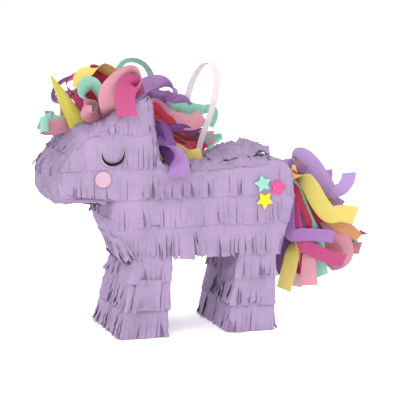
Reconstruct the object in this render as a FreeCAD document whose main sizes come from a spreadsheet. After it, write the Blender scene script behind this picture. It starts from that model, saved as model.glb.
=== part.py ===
"""Mini unicorn pinata: card shell, tissue fringe, paper mane and tail, fill flap, hanging ribbon.

Millimetres, +Z up. The animal looks towards -X and its left side is -Y. The origin is on the
floor, under the middle of the object. Outlines are written in the side view, as (x, z) measured
from the front edge of the front feet, and every sub-part's Placement then moves it to the origin.
"""
import FreeCAD, Part
import math
import os

from FreeCAD import Placement, Rotation, Vector

DRIVING_SIZES = {
    # shell
    "shell_width": 63.0,
    "card": 1.5,
    "tissue": 0.8,
    "sticker": 0.3,
    "centre_x": 76.956,
    # side view
    "muzzle_x": -41.0,
    "jaw_level": 98.0,
    "muzzle_rise": 21.0,
    "brow_x": -22.5,
    "brow_level": 142.5,
    "crown_level": 163.0,
    "ear_tip_level": 169.5,
    "nape_x": 31.0,
    "back_level": 116.2,
    "rump_x": 131.0,
    "rump_level": 122.5,
    "belly_level": 56.0,
    "chest_x": -1.0,
    # legs
    "leg_spacing": 79.8,
    "foot_length": 33.0,
    "foot_splay": 5.0,
    "leg_gap": 4.0,
    "knee_length": 26.0,
    "front_lean": 13.0,
    "rear_lean": 10.0,
    # tissue row levels
    "row_brow": 143.5,
    "row_cheek": 119.5,
    "row_flank": 97.5,
    "row_belly": 77.5,
    # horn
    "horn_length": 47.0,
    "horn_radius": 6.0,
    "horn_wall": 0.6,
    "horn_tilt": 28.5,
    # fill opening and flap
    "opening_start": 80.0,
    "opening_length": 28.0,
    "opening_width": 36.0,
    "flap_margin": 4.0,
    "flap_lift": 6.0,
    "flap_tissue": 2.5,
    # hanging ribbon
    "ribbon_x": 67.6,
    "ribbon_width": 6.0,
    "ribbon_thickness": 0.4,
    "ribbon_turn": -62.0,
    "patch_size": 22.0,
    "knot_radius": 4.5,
    # streamers
    "streamer_width": 10.0,
    "streamer_pitch": 10.5,
    "streamer_thickness": 0.5,
}

doc = FreeCAD.newDocument("Pinata")
sheet = doc.addObject("Spreadsheet::Sheet", "Sizes")
for row, (alias, value) in enumerate(DRIVING_SIZES.items(), start=1):
    sheet.set(f"A{row}", alias)
    sheet.set(f"B{row}", str(value))
    sheet.setAlias(f"B{row}", alias)
doc.recompute()

SUB_PARTS = []


def size(alias):
    """The value of one spreadsheet cell."""
    return float(sheet.get(alias))


def keep(item, label):
    """Label a finished sub-part, move it to the object's origin and list it for export."""
    item.Label = label
    item.setExpression("Placement.Base.x", f"{item.Placement.Base.x} - Sizes.centre_x")
    SUB_PARTS.append(item)
    return item


def boolean(kind, label, base, tool):
    """A Part boolean of two document objects, its own Label and no Placement yet."""
    result = doc.addObject(kind, label)
    result.Base = base
    result.Tool = tool
    return result


def corner_box(label, low, high):
    """A box between two corners."""
    box = doc.addObject("Part::Box", label)
    box.Length = high[0] - low[0]
    box.Width = high[1] - low[1]
    box.Height = high[2] - low[2]
    box.Placement.Base = Vector(*low)
    return box


# ---------------------------------------------------------------- outlines in the side view

def unit(a, b):
    """Unit vector from a to b."""
    span = math.hypot(b[0] - a[0], b[1] - a[1])
    return (b[0] - a[0]) / span, (b[1] - a[1]) / span


def shifted(point, direction, distance):
    """A point moved along a unit direction."""
    return point[0] + direction[0] * distance, point[1] + direction[1] * distance


def inward(a, b):
    """The inward normal of side a-b; the outline runs clockwise, seen from the animal's left."""
    along = unit(a, b)
    return along[1], -along[0]


def silhouette():
    """Corners of the side view, clockwise from the muzzle, each with its bend radius."""
    jaw = size("jaw_level")
    muzzle = size("muzzle_x")
    nape = size("nape_x")
    rump = size("rump_x")
    back = size("back_level")
    crown = size("crown_level")
    chest = size("chest_x")
    belly = size("belly_level")
    return {
        "muzzle_low": ((muzzle, jaw + 2.0), 5.0),
        "muzzle_high": ((muzzle, jaw + size("muzzle_rise")), 8.0),
        "brow": ((size("brow_x"), size("brow_level")), 6.0),
        "forelock": ((-9.0, 147.0), 10.0),
        "ear_front": ((13.5, crown), 3.0),
        "ear_rear": ((25.7, crown - 2.5), 0.0),
        "nape": ((nape, back), 13.0),
        "croup": ((rump - 3.0, size("rump_level")), 13.0),
        "rump": ((rump, 93.0), 25.0),
        "thigh": ((120.0, belly), 0.0),
        "elbow": ((13.0, belly), 0.0),
        "chest": ((chest, 80.0), 15.0),
        "throat": ((chest - 1.0, jaw - 0.5), 0.0),
    }


CORNERS = silhouette()
NAMES = list(CORNERS)
POINTS = [CORNERS[name][0] for name in NAMES]
RADII = [CORNERS[name][1] for name in NAMES]


def offset_corner(index, depth):
    """Where a corner of the silhouette lies when every side moves inward by depth."""
    before, here, after = (POINTS[(index + step) % len(POINTS)] for step in (-1, 0, 1))
    first = inward(before, here)
    second = inward(here, after)
    scale = depth / (1.0 + first[0] * second[0] + first[1] * second[1])
    return here[0] + (first[0] + second[0]) * scale, here[1] + (first[1] + second[1]) * scale


def offset_radius(index, depth):
    """The bend radius of that corner: smaller inside a convex bend, larger in a hollow one."""
    if RADII[index] == 0.0:
        return 0.0
    before, here, after = (POINTS[(index + step) % len(POINTS)] for step in (-1, 0, 1))
    first = unit(before, here)
    second = unit(here, after)
    turn = first[0] * second[1] - first[1] * second[0]
    return max(RADII[index] - depth, 0.0) if turn < 0.0 else RADII[index] + depth


def station(name, fraction, depth):
    """A point along the side that starts at a corner; fraction 0 is the mitred corner itself."""
    index = NAMES.index(name)
    if fraction == 0.0:
        return offset_corner(index, depth)
    here = POINTS[index]
    after = POINTS[(index + 1) % len(POINTS)]
    on_side = (here[0] + (after[0] - here[0]) * fraction, here[1] + (after[1] - here[1]) * fraction)
    return shifted(on_side, inward(here, after), depth)


def rounded(points, radii, closed):
    """Lines and tangent arcs through the points, in the XZ plane, as curve geometry."""
    curves = []
    count = len(points)
    exits = []
    for index, (here, radius) in enumerate(zip(points, radii)):
        inner = closed or 0 < index < count - 1
        if radius == 0.0 or not inner:
            exits.append((here, None, here))
            continue
        back = unit(here, points[index - 1])
        ahead = unit(here, points[(index + 1) % count])
        half = math.acos(max(-1.0, min(1.0, back[0] * ahead[0] + back[1] * ahead[1]))) / 2.0
        reach = radius / math.tan(half)
        start = shifted(here, back, reach)
        end = shifted(here, ahead, reach)
        bisector = unit((0.0, 0.0), (back[0] + ahead[0], back[1] + ahead[1]))
        middle = shifted(here, bisector, radius / math.sin(half) - radius)
        exits.append((start, middle, end))
    for index, (start, middle, end) in enumerate(exits):
        if middle is not None:
            curves.append(Part.Arc(flat(start), flat(middle), flat(end)))
        if closed or index < count - 1:
            following = exits[(index + 1) % count][0]
            curves.append(Part.LineSegment(flat(end), flat(following)))
    return curves


def flat(point):
    """A side-view point as a sketch vector."""
    return Vector(point[0], point[1], 0.0)


def strip_outline(first, last, outer, inner):
    """Closed outline of a strip that follows the silhouette between two stations.

    first and last are (corner, fraction along its side); outer and inner are depths, and a
    negative depth is outside the silhouette.
    """
    start = NAMES.index(first[0]) + 1
    stop = NAMES.index(last[0])
    if last[1] > 0.0:
        stop += 1
    if stop < start:
        stop += len(NAMES)
    between = [index % len(NAMES) for index in range(start, stop)]
    sides = []
    for depth in (outer, inner):
        points = [station(*first, depth)]
        points += [offset_corner(index, depth) for index in between]
        points += [station(*last, depth)]
        radii = [0.0] + [offset_radius(index, depth) for index in between] + [0.0]
        sides.append((points, radii))
    points = sides[0][0] + sides[1][0][::-1]
    radii = sides[0][1] + sides[1][1][::-1]
    return rounded(points, radii, closed=True)


def side_body(label, curves, near_side, thickness):
    """A PartDesign body padded from an outline in the side view.

    near_side and thickness are expressions: the pad's lowest Y is -near_side, and it grows
    towards +Y by thickness.
    """
    body = doc.addObject("PartDesign::Body", label + "_body")
    plane = next(item for item in body.Origin.OriginFeatures if item.Role == "XZ_Plane")
    sketch = body.newObject("Sketcher::SketchObject", label + "_outline")
    sketch.AttachmentSupport = [(plane, "")]
    sketch.MapMode = "FlatFace"
    sketch.setExpression("AttachmentOffset.Base.z", near_side)
    for curve in curves:
        sketch.addGeometry(curve, False)
    pad = body.newObject("PartDesign::Pad", label + "_pad")
    pad.Profile = sketch
    pad.setExpression("Length", thickness)
    pad.Reversed = True
    sketch.Visibility = False
    return body


# ---------------------------------------------------------------- card shell

def ear_outline():
    """The panel outline: the silhouette with a pointed ear standing on the crown."""
    points = list(POINTS)
    radii = list(RADII)
    ear = NAMES.index("ear_front") + 1
    points.insert(ear, (23.8, size("ear_tip_level")))
    radii.insert(ear, 1.0)
    return rounded(points, radii, closed=True)


def side_panels():
    """Two die-cut card panels, one per flank."""
    for side, near in (("left", "Sizes.shell_width / 2"), ("right", "-Sizes.shell_width / 2 + Sizes.card")):
        keep(side_body("side_panel_" + side, ear_outline(), near, "Sizes.card"), "side_panel_" + side)


BANDS = {
    "jaw_band": (("throat", 0.0), ("throat", 0.8)),
    "muzzle_band": (("throat", 0.8), ("muzzle_high", 0.35)),
    "forehead_band": (("muzzle_high", 0.35), ("brow", 0.7)),
    "crown_band": (("brow", 0.7), ("ear_rear", 0.0)),
    "nape_band": (("ear_rear", 0.0), ("nape", 0.2)),
    "back_band": (("nape", 0.2), ("nape", 0.86)),
    "rump_band": (("nape", 0.86), ("thigh", 0.0)),
    "belly_band": (("thigh", 0.0), ("elbow", 0.0)),
    "chest_band": (("elbow", 0.0), ("throat", 0.0)),
}


def card_bands():
    """Card strips bent round the edge, between the two panels."""
    card = size("card")
    bodies = {}
    for label, (first, last) in BANDS.items():
        curves = strip_outline(first, last, 0.0, card)
        width = "Sizes.shell_width - 2 * Sizes.card"
        bodies[label] = side_body(label, curves, "Sizes.shell_width / 2 - Sizes.card", width)
    return bodies


def back_frame():
    """Point on the back at the hinge line, and the back's slope in degrees."""
    nape = POINTS[NAMES.index("nape")]
    croup = POINTS[NAMES.index("croup")]
    slope = math.degrees(math.atan2(croup[1] - nape[1], croup[0] - nape[0]))
    return nape, slope


def back_point(x, rise):
    """A point above the sloping back at side-view position x."""
    nape, slope = back_frame()
    return Vector(x, 0.0, nape[1] + (x - nape[0]) * math.tan(math.radians(slope)) + rise)


SLOT_LENGTH = 4.0
SLOT_PLAY = 1.0
SLOT_TOOL_DEPTH = 8.0
SLOT_TOOL_HEIGHT = 12.0
OPENING_TOOL_HEIGHT = 20.0


def ribbon_slot(label):
    """Cutting tool for the slot that both ribbon ends go through."""
    width = size("ribbon_width") + SLOT_PLAY
    slot = doc.addObject("Part::Box", label)
    slot.Length = SLOT_LENGTH
    slot.Width = width
    slot.Height = SLOT_TOOL_HEIGHT
    turn = Rotation(Vector(0, 0, 1), size("ribbon_turn"))
    corner = Vector(-SLOT_LENGTH / 2.0, -width / 2.0, -SLOT_TOOL_DEPTH)
    slot.Placement = Placement(back_point(size("ribbon_x"), 0.0) + turn.multVec(corner), turn)
    return slot


def fill_opening(label):
    """Cutting tool for the fill opening in the back."""
    opening = doc.addObject("Part::Box", label)
    opening.setExpression("Length", "Sizes.opening_length")
    opening.setExpression("Width", "Sizes.opening_width")
    opening.Height = OPENING_TOOL_HEIGHT
    start = back_point(size("opening_start"), -OPENING_TOOL_HEIGHT / 2.0)
    opening.Placement.Base = start - Vector(0.0, size("opening_width") / 2.0, 0.0)
    return opening


def compound(label, items):
    """Several tools as one."""
    group = doc.addObject("Part::Compound", label)
    group.Links = items
    return group


def leg_wedge(label, side, toe_x, lean, grow, floor, top):
    """A leg's tapered box between two levels, its faces moved outward by grow.

    The card box is a straight taper from foot to belly; grow 0 is its outer face. Part::Wedge
    tapers along its own Y, which the Placement stands upright.
    """
    belly = size("belly_level")
    half = size("shell_width") / 2.0
    gap = size("leg_gap") / 2.0

    def spread(level):
        up = level / belly
        front = toe_x + lean * up
        length = size("foot_length") + (size("knee_length") - size("foot_length")) * up
        outer = half + size("foot_splay") * (1.0 - up)
        return front - grow, front + length + grow, gap - grow, outer + grow

    wedge = doc.addObject("Part::Wedge", label)
    low = spread(floor)
    high = spread(top)
    wedge.Ymin = floor
    wedge.Ymax = top
    wedge.Xmin, wedge.Xmax = low[0], low[1]
    wedge.X2min, wedge.X2max = high[0], high[1]
    if side == "left":
        wedge.Zmin, wedge.Zmax = low[2], low[3]
        wedge.Z2min, wedge.Z2max = high[2], high[3]
    else:
        wedge.Zmin, wedge.Zmax = -low[3], -low[2]
        wedge.Z2min, wedge.Z2max = -high[3], -high[2]
    wedge.Placement = Placement(Vector(0, 0, 0), Rotation(Vector(1, 0, 0), 90.0))
    return wedge


TOE_INSET = 0.8
TIER_SLIT = 0.4
TIER_END_GAP = 0.2

LEGS = {
    "front_left": ("left", "front"),
    "front_right": ("right", "front"),
    "rear_left": ("left", "rear"),
    "rear_right": ("right", "rear"),
}


def legs():
    """Four tapered card boxes, each closed by a sole and wrapped in three tissue tiers."""
    card = size("card")
    belly = size("belly_level")
    tissue = size("tissue")
    for name, (side, pair) in LEGS.items():
        toe = TOE_INSET if pair == "front" else size("leg_spacing") + TOE_INSET
        lean = size("front_lean") if pair == "front" else size("rear_lean")
        where = (side, toe, lean)
        outer = leg_wedge("leg_outer_" + name, *where, 0.0, card, belly)
        inner = leg_wedge("leg_inner_" + name, *where, -card, card, belly)
        keep(boolean("Part::Cut", "leg_cut_" + name, outer, inner), "leg_" + name)
        keep(leg_wedge("sole_wedge_" + name, *where, 0.0, 0.0, card), "sole_" + name)
        wrap = leg_wedge("wrap_outer_" + name, *where, tissue, TIER_SLIT, belly - TIER_END_GAP)
        core = leg_wedge("wrap_inner_" + name, *where, 0.0, 0.0, belly)
        sleeve = boolean("Part::Cut", "sleeve_" + name, wrap, core)
        slits = [
            corner_box(f"slit_{name}_{tier}", (-20, -60, level), (150, 60, level + TIER_SLIT))
            for tier, level in enumerate((belly / 3.0, 2.0 * belly / 3.0))
        ]
        tiers = boolean("Part::Cut", "tiers_" + name, sleeve, compound("slits_" + name, slits))
        keep(tiers, "fringe_leg_" + name)


HORN_BASE = Vector(-15.5, 0.0, 140.5)
HORN_TIP_RADIUS = 0.25
HORN_TRIM_DEPTH = 12.0
HORN_INSIDE_SHORTER = 8.0


def horn():
    """A rolled paper cone standing on the brow, trimmed where it meets the tissue."""
    under = strip_outline(("muzzle_high", 0.4), ("ear_front", 0.5), -size("tissue"), HORN_TRIM_DEPTH)
    cover = side_body("brow_tool", under, "Sizes.shell_width / 2", "Sizes.shell_width")
    wall = size("horn_wall")
    tilt = Rotation(Vector(0, 1, 0), -size("horn_tilt"))
    cones = []
    for name, shrink in (("horn_outside", 0.0), ("horn_inside", wall)):
        cone = doc.addObject("Part::Cone", name)
        cone.Radius1 = size("horn_radius") - shrink
        cone.Radius2 = HORN_TIP_RADIUS if shrink == 0.0 else 0.0
        cone.Height = size("horn_length") - shrink * HORN_INSIDE_SHORTER
        cone.Placement = Placement(HORN_BASE, tilt)
        cones.append(cone)
    hollow = boolean("Part::Cut", "horn_hollow", *cones)
    keep(boolean("Part::Cut", "horn_trimmed", hollow, cover), "horn")


# ---------------------------------------------------------------- tissue

ROW_GAP = 0.1
ABOVE_ALL = 200.0

ROWS = {
    "fringe_ear": ("row_brow", None),
    "fringe_brow": ("row_cheek", "row_brow"),
    "fringe_cheek": ("row_flank", "row_cheek"),
    "fringe_flank": ("row_belly", "row_flank"),
    "fringe_belly": (None, "row_belly"),
}


def flank_rows():
    """Five rows of fringed tissue on each panel, clipped from one sheet per side."""
    for side in ("left", "right"):
        near = "Sizes.shell_width / 2 + Sizes.tissue" if side == "left" else "-Sizes.shell_width / 2"
        covering = side_body("covering_" + side, ear_outline(), near, "Sizes.tissue")
        for label, (low, high) in ROWS.items():
            bottom = size(low) + ROW_GAP if low else 0.0
            top = size(high) - ROW_GAP if high else ABOVE_ALL
            name = f"{label}_{side}"
            clip = corner_box("clip_" + name, (-60, -50, bottom), (150, 50, top))
            keep(boolean("Part::Common", "row_" + name, covering, clip), name)


WRAPS = {
    "tissue_muzzle": (("throat", 0.12), ("muzzle_high", 0.5)),
    "tissue_forehead": (("muzzle_high", 0.52), ("brow", 0.86)),
    "tissue_crown": (("forelock", 0.08), ("ear_front", 0.9)),
    "tissue_nape": (("ear_rear", 0.05), ("nape", 0.22)),
    "tissue_back": (("nape", 0.24), ("nape", 0.84)),
    "tissue_rump": (("nape", 0.86), ("rump", 0.98)),
    "fringe_chest_upper": (("chest", 0.27), ("throat", 0.02)),
    "fringe_chest_lower": (("elbow", 0.02), ("chest", 0.25)),
}


def edge_wraps():
    """Tissue glued over the bent card bands; the crown's lies between the two ears."""
    bodies = {}
    for label, (first, last) in WRAPS.items():
        curves = strip_outline(first, last, -size("tissue"), 0.0)
        near, width = "Sizes.shell_width / 2", "Sizes.shell_width"
        if label == "tissue_crown":
            near, width = near + " - Sizes.card", width + " - 2 * Sizes.card"
        bodies[label] = side_body(label, curves, near, width)
    return bodies


# The closed eye's front tip and rear tip, and the lowest points of its lower and upper edges.
EYE_TIPS = (Vector(-10.4, 131.3), Vector(5.0, 132.4))
EYE_LOW = (Vector(0.4, 121.6), Vector(0.2, 123.8))
CHEEK = (-9.6, 112.2)
CHEEK_RADIUS = 5.6
# Each star's centre (x, z) and turn in degrees.
STARS = {"mint": (106.6, 104.9, 12.0), "pink": (117.9, 102.0, -14.0), "yellow": (108.2, 93.0, 36.0)}
STAR_TIP = 6.0
STAR_NOTCH = 3.1


def stickers():
    """Closed eye and cheek on each side of the head, three stars on each flank."""
    half = size("shell_width") / 2.0 + size("tissue")
    thick = size("sticker")
    sides = {"left": f"{half + thick}", "right": f"{-half}"}
    eye = [Part.Arc(EYE_TIPS[0], low, EYE_TIPS[1]) for low in EYE_LOW]
    for side, near in sides.items():
        keep(side_body("eye_" + side, eye, near, "Sizes.sticker"), "eye_" + side)
        cheek = doc.addObject("Part::Cylinder", "cheek_disc_" + side)
        cheek.Radius = CHEEK_RADIUS
        cheek.setExpression("Height", "Sizes.sticker")
        top = -half if side == "left" else half + thick
        cheek.Placement = Placement(Vector(CHEEK[0], top, CHEEK[1]), Rotation(Vector(1, 0, 0), 90.0))
        keep(cheek, "cheek_" + side)
    for colour, (x, z, turn) in STARS.items():
        pair = [side_body(f"star_{colour}_{side}", star(x, z, turn), near, "Sizes.sticker")
                for side, near in sides.items()]
        keep(compound("star_pair_" + colour, pair), "star_" + colour)


def star(x, z, turn):
    """A plump five-pointed star."""
    points = []
    for step in range(10):
        radius = STAR_TIP if step % 2 == 0 else STAR_NOTCH
        angle = math.radians(90.0 + turn + 36.0 * step)
        points.append((x + radius * math.cos(angle), z + radius * math.sin(angle)))
    return rounded(points, [0.0] * 10, closed=True)


# ---------------------------------------------------------------- fill flap and hanger

FLAP_CLEARANCE = 0.3
COVER_OVERHANG = 2.0


def flap():
    """The card flap over the fill opening, a little open, with its crumpled tissue cover."""
    margin = size("flap_margin")
    length = size("opening_length") + 2.0 * margin
    width = size("opening_width") + 2.0 * margin
    slope = back_frame()[1]
    tilt = Rotation(Vector(0, 1, 0), -(slope + size("flap_lift")))
    hinge = back_point(size("opening_start") - margin, size("tissue") + FLAP_CLEARANCE)
    card = doc.addObject("Part::Box", "flap_card")
    card.Length = length
    card.Width = width
    card.setExpression("Height", "Sizes.card")
    card.Placement = Placement(hinge + tilt.multVec(Vector(0, -width / 2.0, 0)), tilt)
    keep(card, "fill_flap")
    cover = doc.addObject("Part::Box", "flap_cover")
    cover.Length = length + COVER_OVERHANG
    cover.Width = width + 2.0 * COVER_OVERHANG
    cover.setExpression("Height", "Sizes.flap_tissue")
    corner = Vector(0, -width / 2.0 - COVER_OVERHANG, size("card"))
    cover.Placement = Placement(hinge + tilt.multVec(corner), tilt)
    keep(cover, "tissue_flap")


def hanger_patch(slot):
    """A card patch glued under the back, so that the ribbon can't pull through."""
    patch = doc.addObject("Part::Box", "patch_card")
    patch.setExpression("Length", "Sizes.patch_size")
    patch.setExpression("Width", "Sizes.patch_size")
    patch.setExpression("Height", "Sizes.card")
    slope = Rotation(Vector(0, 1, 0), -back_frame()[1])
    half = size("patch_size") / 2.0
    under = back_point(size("ribbon_x"), 0.0)
    corner = slope.multVec(Vector(-half, -half, -2.0 * size("card")))
    patch.Placement = Placement(under + corner, slope)
    keep(boolean("Part::Cut", "patch_cut", patch, slot), "hanger_patch")


# The ribbon's route in its own plane: distance from the slot and height.
RIBBON_ROUTE = [
    (0.9, 113.0), (1.8, 125.0), (6.5, 138.0), (13.5, 151.0), (18.5, 165.0), (22.0, 179.0),
    (16.5, 190.0), (7.5, 189.0), (-1.5, 180.0), (-7.5, 168.5), (-10.8, 155.0), (-9.0, 141.0),
    (-3.5, 129.0), (-0.9, 119.5), (-0.9, 113.0),
]


def tangent_route(route):
    """Straight runs joined by tangent arcs, each as large as its two runs allow."""
    curves = []
    here = route[0]
    for before, corner, after in zip(route, route[1:], route[2:]):
        back = unit(corner, before)
        ahead = unit(corner, after)
        shorter = min(math.dist(before, corner), math.dist(corner, after))
        reach = 0.45 * shorter
        turn = math.pi - math.acos(back[0] * ahead[0] + back[1] * ahead[1])
        radius = reach / math.tan(turn / 2.0)
        half = (math.pi - turn) / 2.0
        start = shifted(corner, back, reach)
        end = shifted(corner, ahead, reach)
        bisector = unit((0.0, 0.0), (back[0] + ahead[0], back[1] + ahead[1]))
        middle = shifted(corner, bisector, radius / math.sin(half) - radius)
        curves.append(Part.LineSegment(upright(here), upright(start)))
        curves.append(Part.Arc(upright(start), upright(middle), upright(end)))
        here = end
    curves.append(Part.LineSegment(upright(here), upright(route[-1])))
    return Part.Wire([curve.toShape() for curve in curves])


def upright(point):
    """A side-view point in the XZ plane of space."""
    return Vector(point[0], 0.0, point[1])


def hanging_ribbon():
    """The flat hanging ribbon: one loop whose two ends go down through the slot."""
    path = tangent_route(RIBBON_ROUTE)
    width = size("ribbon_width")
    thick = size("ribbon_thickness")
    corners = [Vector(x, y, RIBBON_ROUTE[0][1]) + Vector(RIBBON_ROUTE[0][0], 0, 0)
               for x, y in ((-thick / 2, -width / 2), (thick / 2, -width / 2),
                            (thick / 2, width / 2), (-thick / 2, width / 2))]
    profile = Part.makePolygon(corners + corners[:1])
    solid = path.makePipeShell([profile], True, False)
    print(f"ribbon length {path.Length:.1f}")
    ribbon = doc.addObject("Part::Feature", "ribbon_loop")
    ribbon.Shape = solid
    turn = Rotation(Vector(0, 0, 1), size("ribbon_turn"))
    ribbon.Placement = Placement(Vector(size("ribbon_x"), 0, 0), turn)
    keep(ribbon, "hanging_ribbon")


KNOT_THICKNESS = 3.0


def knot():
    """The knot that ties the two ribbon ends together under the patch."""
    ball = doc.addObject("Part::Ellipsoid", "knot_ball")
    ball.Radius1 = KNOT_THICKNESS
    ball.Radius2 = size("knot_radius")
    ball.Radius3 = size("knot_radius")
    ball.Placement.Base = Vector(size("ribbon_x"), 0.0, RIBBON_ROUTE[0][1] - KNOT_THICKNESS)
    keep(ball, "hanger_knot")


# ---------------------------------------------------------------- paper streamers

def streamer(lane, start, pitch, steps):
    """One curled paper strip in a plane along the body.

    lane numbers the plane from the middle outwards, negative on the animal's left. The strip
    leaves start at pitch degrees above +X, and each step is (length, total turn in degrees).
    """
    thick = size("streamer_thickness")
    edges = {1.0: [], -1.0: []}
    x, z = start
    heading = math.radians(pitch)
    ends = []
    for length, turn in steps:
        bend = math.radians(turn)
        marks = []
        for share in (0.0, 0.5, 1.0):
            angle = heading + bend * share
            if abs(bend) < 1e-6:
                point = (x + length * share * math.cos(heading), z + length * share * math.sin(heading))
            else:
                radius = length / bend
                point = (x + radius * (math.sin(angle) - math.sin(heading)),
                         z - radius * (math.cos(angle) - math.cos(heading)))
            marks.append((point, (-math.sin(angle), math.cos(angle))))
        for side in edges:
            a, b, c = (upright(shifted(point, normal, side * thick / 2.0)) for point, normal in marks)
            curve = Part.LineSegment(a, c) if abs(bend) < 1e-6 else Part.Arc(a, b, c)
            edges[side].append(curve.toShape())
            ends.append((a, c))
        x, z = marks[2][0]
        heading += bend
    first = Part.LineSegment(ends[0][0], ends[1][0]).toShape()
    last = Part.LineSegment(ends[-2][1], ends[-1][1]).toShape()
    outline = Part.Wire(Part.__sortEdges__(edges[1.0] + [last] + edges[-1.0][::-1] + [first]))
    width = size("streamer_width")
    face = Part.Face(outline)
    solid = face.extrude(Vector(0, width, 0))
    solid.translate(Vector(0, lane * size("streamer_pitch") - width / 2.0, 0))
    return solid


# lane, start (x, z), pitch, steps of (length, turn)
FORELOCK = [
    (1, (-20, 146), 168, [(22, 0), (8, 40), (20, 300)]),
    (1, (-13, 150), 105, [(16, 10), (26, 150), (10, 30)]),
    (-1, (-12, 149), 128, [(10, -10), (14, 60), (24, 260)]),
    (2, (-10, 150), 120, [(22, 10), (26, 190)]),
    (-2, (-4, 153), 110, [(10, 20), (30, 280)]),
]
CROWN = [
    (0, (2, 158), 96, [(16, 10), (40, 190)]),
    (-1, (5, 160), 75, [(12, 20), (36, -250)]),
    (1, (6, 161), 100, [(16, 0), (46, -190), (8, 0)]),
    (-2, (10, 164), 70, [(12, 0), (30, -190)]),
    (2, (12, 165), 60, [(10, 0), (26, -150)]),
]
NECK = [
    (-1, (29, 158), 45, [(12, 0), (26, -150)]),
    (2, (30, 152), 20, [(24, -12), (28, -20)]),
    (1, (31, 146), 12, [(22, -25), (8, -10)]),
    (0, (32, 141), 8, [(14, -35), (12, 0)]),
    (-1, (33, 136), 10, [(14, -40), (10, -5)]),
    (-2, (33, 130), 15, [(10, -45), (14, -5)]),
    (2, (33, 134), 5, [(20, -10), (22, 10)]),
]
TAIL_UPPER = [
    (0, (139, 112), 62, [(8, 0), (34, -118), (24, 0), (18, 115)]),
    (-1, (139, 109), 25, [(8, 0), (20, -80), (34, 0), (20, 50)]),
    (1, (139, 110), 30, [(8, 0), (24, -90), (46, 10), (16, 20)]),
    (2, (139, 108), 10, [(10, 0), (26, -60), (34, 0)]),
]
TAIL_LOWER = [
    (-2, (139, 105), 0, [(5, 0), (18, -84), (74, -4)]),
    (-1, (139, 102), -8, [(10, -20), (30, -48), (56, -6)]),
    (0, (139, 102), -5, [(10, -20), (40, -38), (38, 10)]),
    (1, (139, 103), -20, [(10, 0), (34, -40), (42, -10)]),
    (2, (139, 102), -35, [(12, 0), (30, -35), (34, 0)]),
]


# Lowest and highest corner of the roll of paper that holds the tail's strips.
BINDING = ((132.3, -26.5, 100.0), (138.7, 26.5, 114.0))


def streamers():
    """Bunches of paper strips: three on the head and neck, two on the tail."""
    bunches = {
        "mane_forelock": FORELOCK,
        "mane_crown": CROWN,
        "mane_neck": NECK,
        "tail_streamers_upper": TAIL_UPPER,
        "tail_streamers_lower": TAIL_LOWER,
    }
    for label, strips in bunches.items():
        bunch = doc.addObject("Part::Feature", label + "_strips")
        bunch.Shape = Part.makeCompound([streamer(*strip) for strip in strips])
        keep(bunch, label)
    keep(corner_box("binding_box", *BINDING), "tail_binding")


def main():
    """Build every sub-part, check it and write it to parts/."""
    side_panels()
    bands = card_bands()
    wraps = edge_wraps()
    holes = compound("back_holes", [fill_opening("opening_tool"), ribbon_slot("slot_tool")])
    for table in (bands, wraps):
        for label, body in table.items():
            if label in ("back_band", "tissue_back"):
                body = boolean("Part::Cut", label + "_cut", body, holes)
            keep(body, label)
    flank_rows()
    legs()
    horn()
    stickers()
    flap()
    hanger_patch(ribbon_slot("patch_slot"))
    hanging_ribbon()
    knot()
    streamers()

    doc.recompute()
    failed = [item.Label for item in doc.Objects if {"Invalid", "Error"} & set(item.State)]
    broken = [item.Label for item in SUB_PARTS if item.Shape.isNull() or not item.Shape.isValid()]
    if failed or broken:
        raise RuntimeError(f"failed features {failed}, invalid shapes {broken}")
    os.makedirs("parts", exist_ok=True)
    for item in SUB_PARTS:
        item.Shape.exportStep(os.path.join("parts", item.Label + ".step"))
    whole = Part.makeCompound([item.Shape for item in SUB_PARTS if item.Label != "hanging_ribbon"])
    print(len(SUB_PARTS), "sub-parts", whole.BoundBox)


main()
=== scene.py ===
"""The mini unicorn pinata's looks: fringed tissue, paper streamers, stickers, horn and ribbon.

Metres, in the CAD frame. The animal looks towards -X and its left side is -Y. Lengths in the
tables are millimetres.
"""
import math
import random
import zlib

import bpy
import numpy as np
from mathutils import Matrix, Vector, noise


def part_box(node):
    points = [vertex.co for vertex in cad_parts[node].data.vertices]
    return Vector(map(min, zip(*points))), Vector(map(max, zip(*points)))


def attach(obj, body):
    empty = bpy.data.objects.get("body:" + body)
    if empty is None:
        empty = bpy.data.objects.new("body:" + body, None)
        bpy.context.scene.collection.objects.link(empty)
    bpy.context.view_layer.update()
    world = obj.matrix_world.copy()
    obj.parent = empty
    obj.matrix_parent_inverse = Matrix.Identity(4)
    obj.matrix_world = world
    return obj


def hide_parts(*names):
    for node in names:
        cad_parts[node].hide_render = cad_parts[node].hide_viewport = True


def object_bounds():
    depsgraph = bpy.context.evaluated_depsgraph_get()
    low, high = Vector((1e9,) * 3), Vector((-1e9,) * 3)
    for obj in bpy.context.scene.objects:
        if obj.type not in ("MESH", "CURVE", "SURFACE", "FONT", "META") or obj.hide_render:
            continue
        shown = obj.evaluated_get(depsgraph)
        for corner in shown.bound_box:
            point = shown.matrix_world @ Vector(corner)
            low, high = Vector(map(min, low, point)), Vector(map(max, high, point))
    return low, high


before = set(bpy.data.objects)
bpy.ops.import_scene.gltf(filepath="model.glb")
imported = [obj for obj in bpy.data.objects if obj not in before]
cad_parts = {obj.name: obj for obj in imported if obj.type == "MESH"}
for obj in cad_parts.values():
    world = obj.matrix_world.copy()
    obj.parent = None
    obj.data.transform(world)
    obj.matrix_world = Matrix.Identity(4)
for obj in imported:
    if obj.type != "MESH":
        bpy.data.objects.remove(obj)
CAD_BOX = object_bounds()
MM = 0.001


def rng(name):
    """A random generator of its own for each piece, the same on every run."""
    return random.Random(zlib.crc32(name.encode()))


def lerp(a, b, share):
    """Linear blend of two values or arrays."""
    return a + (b - a) * share


def smooth(x):
    """Smooth step from 0 to 1."""
    x = np.clip(x, 0.0, 1.0)
    return x * x * (3.0 - 2.0 * x)


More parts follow.
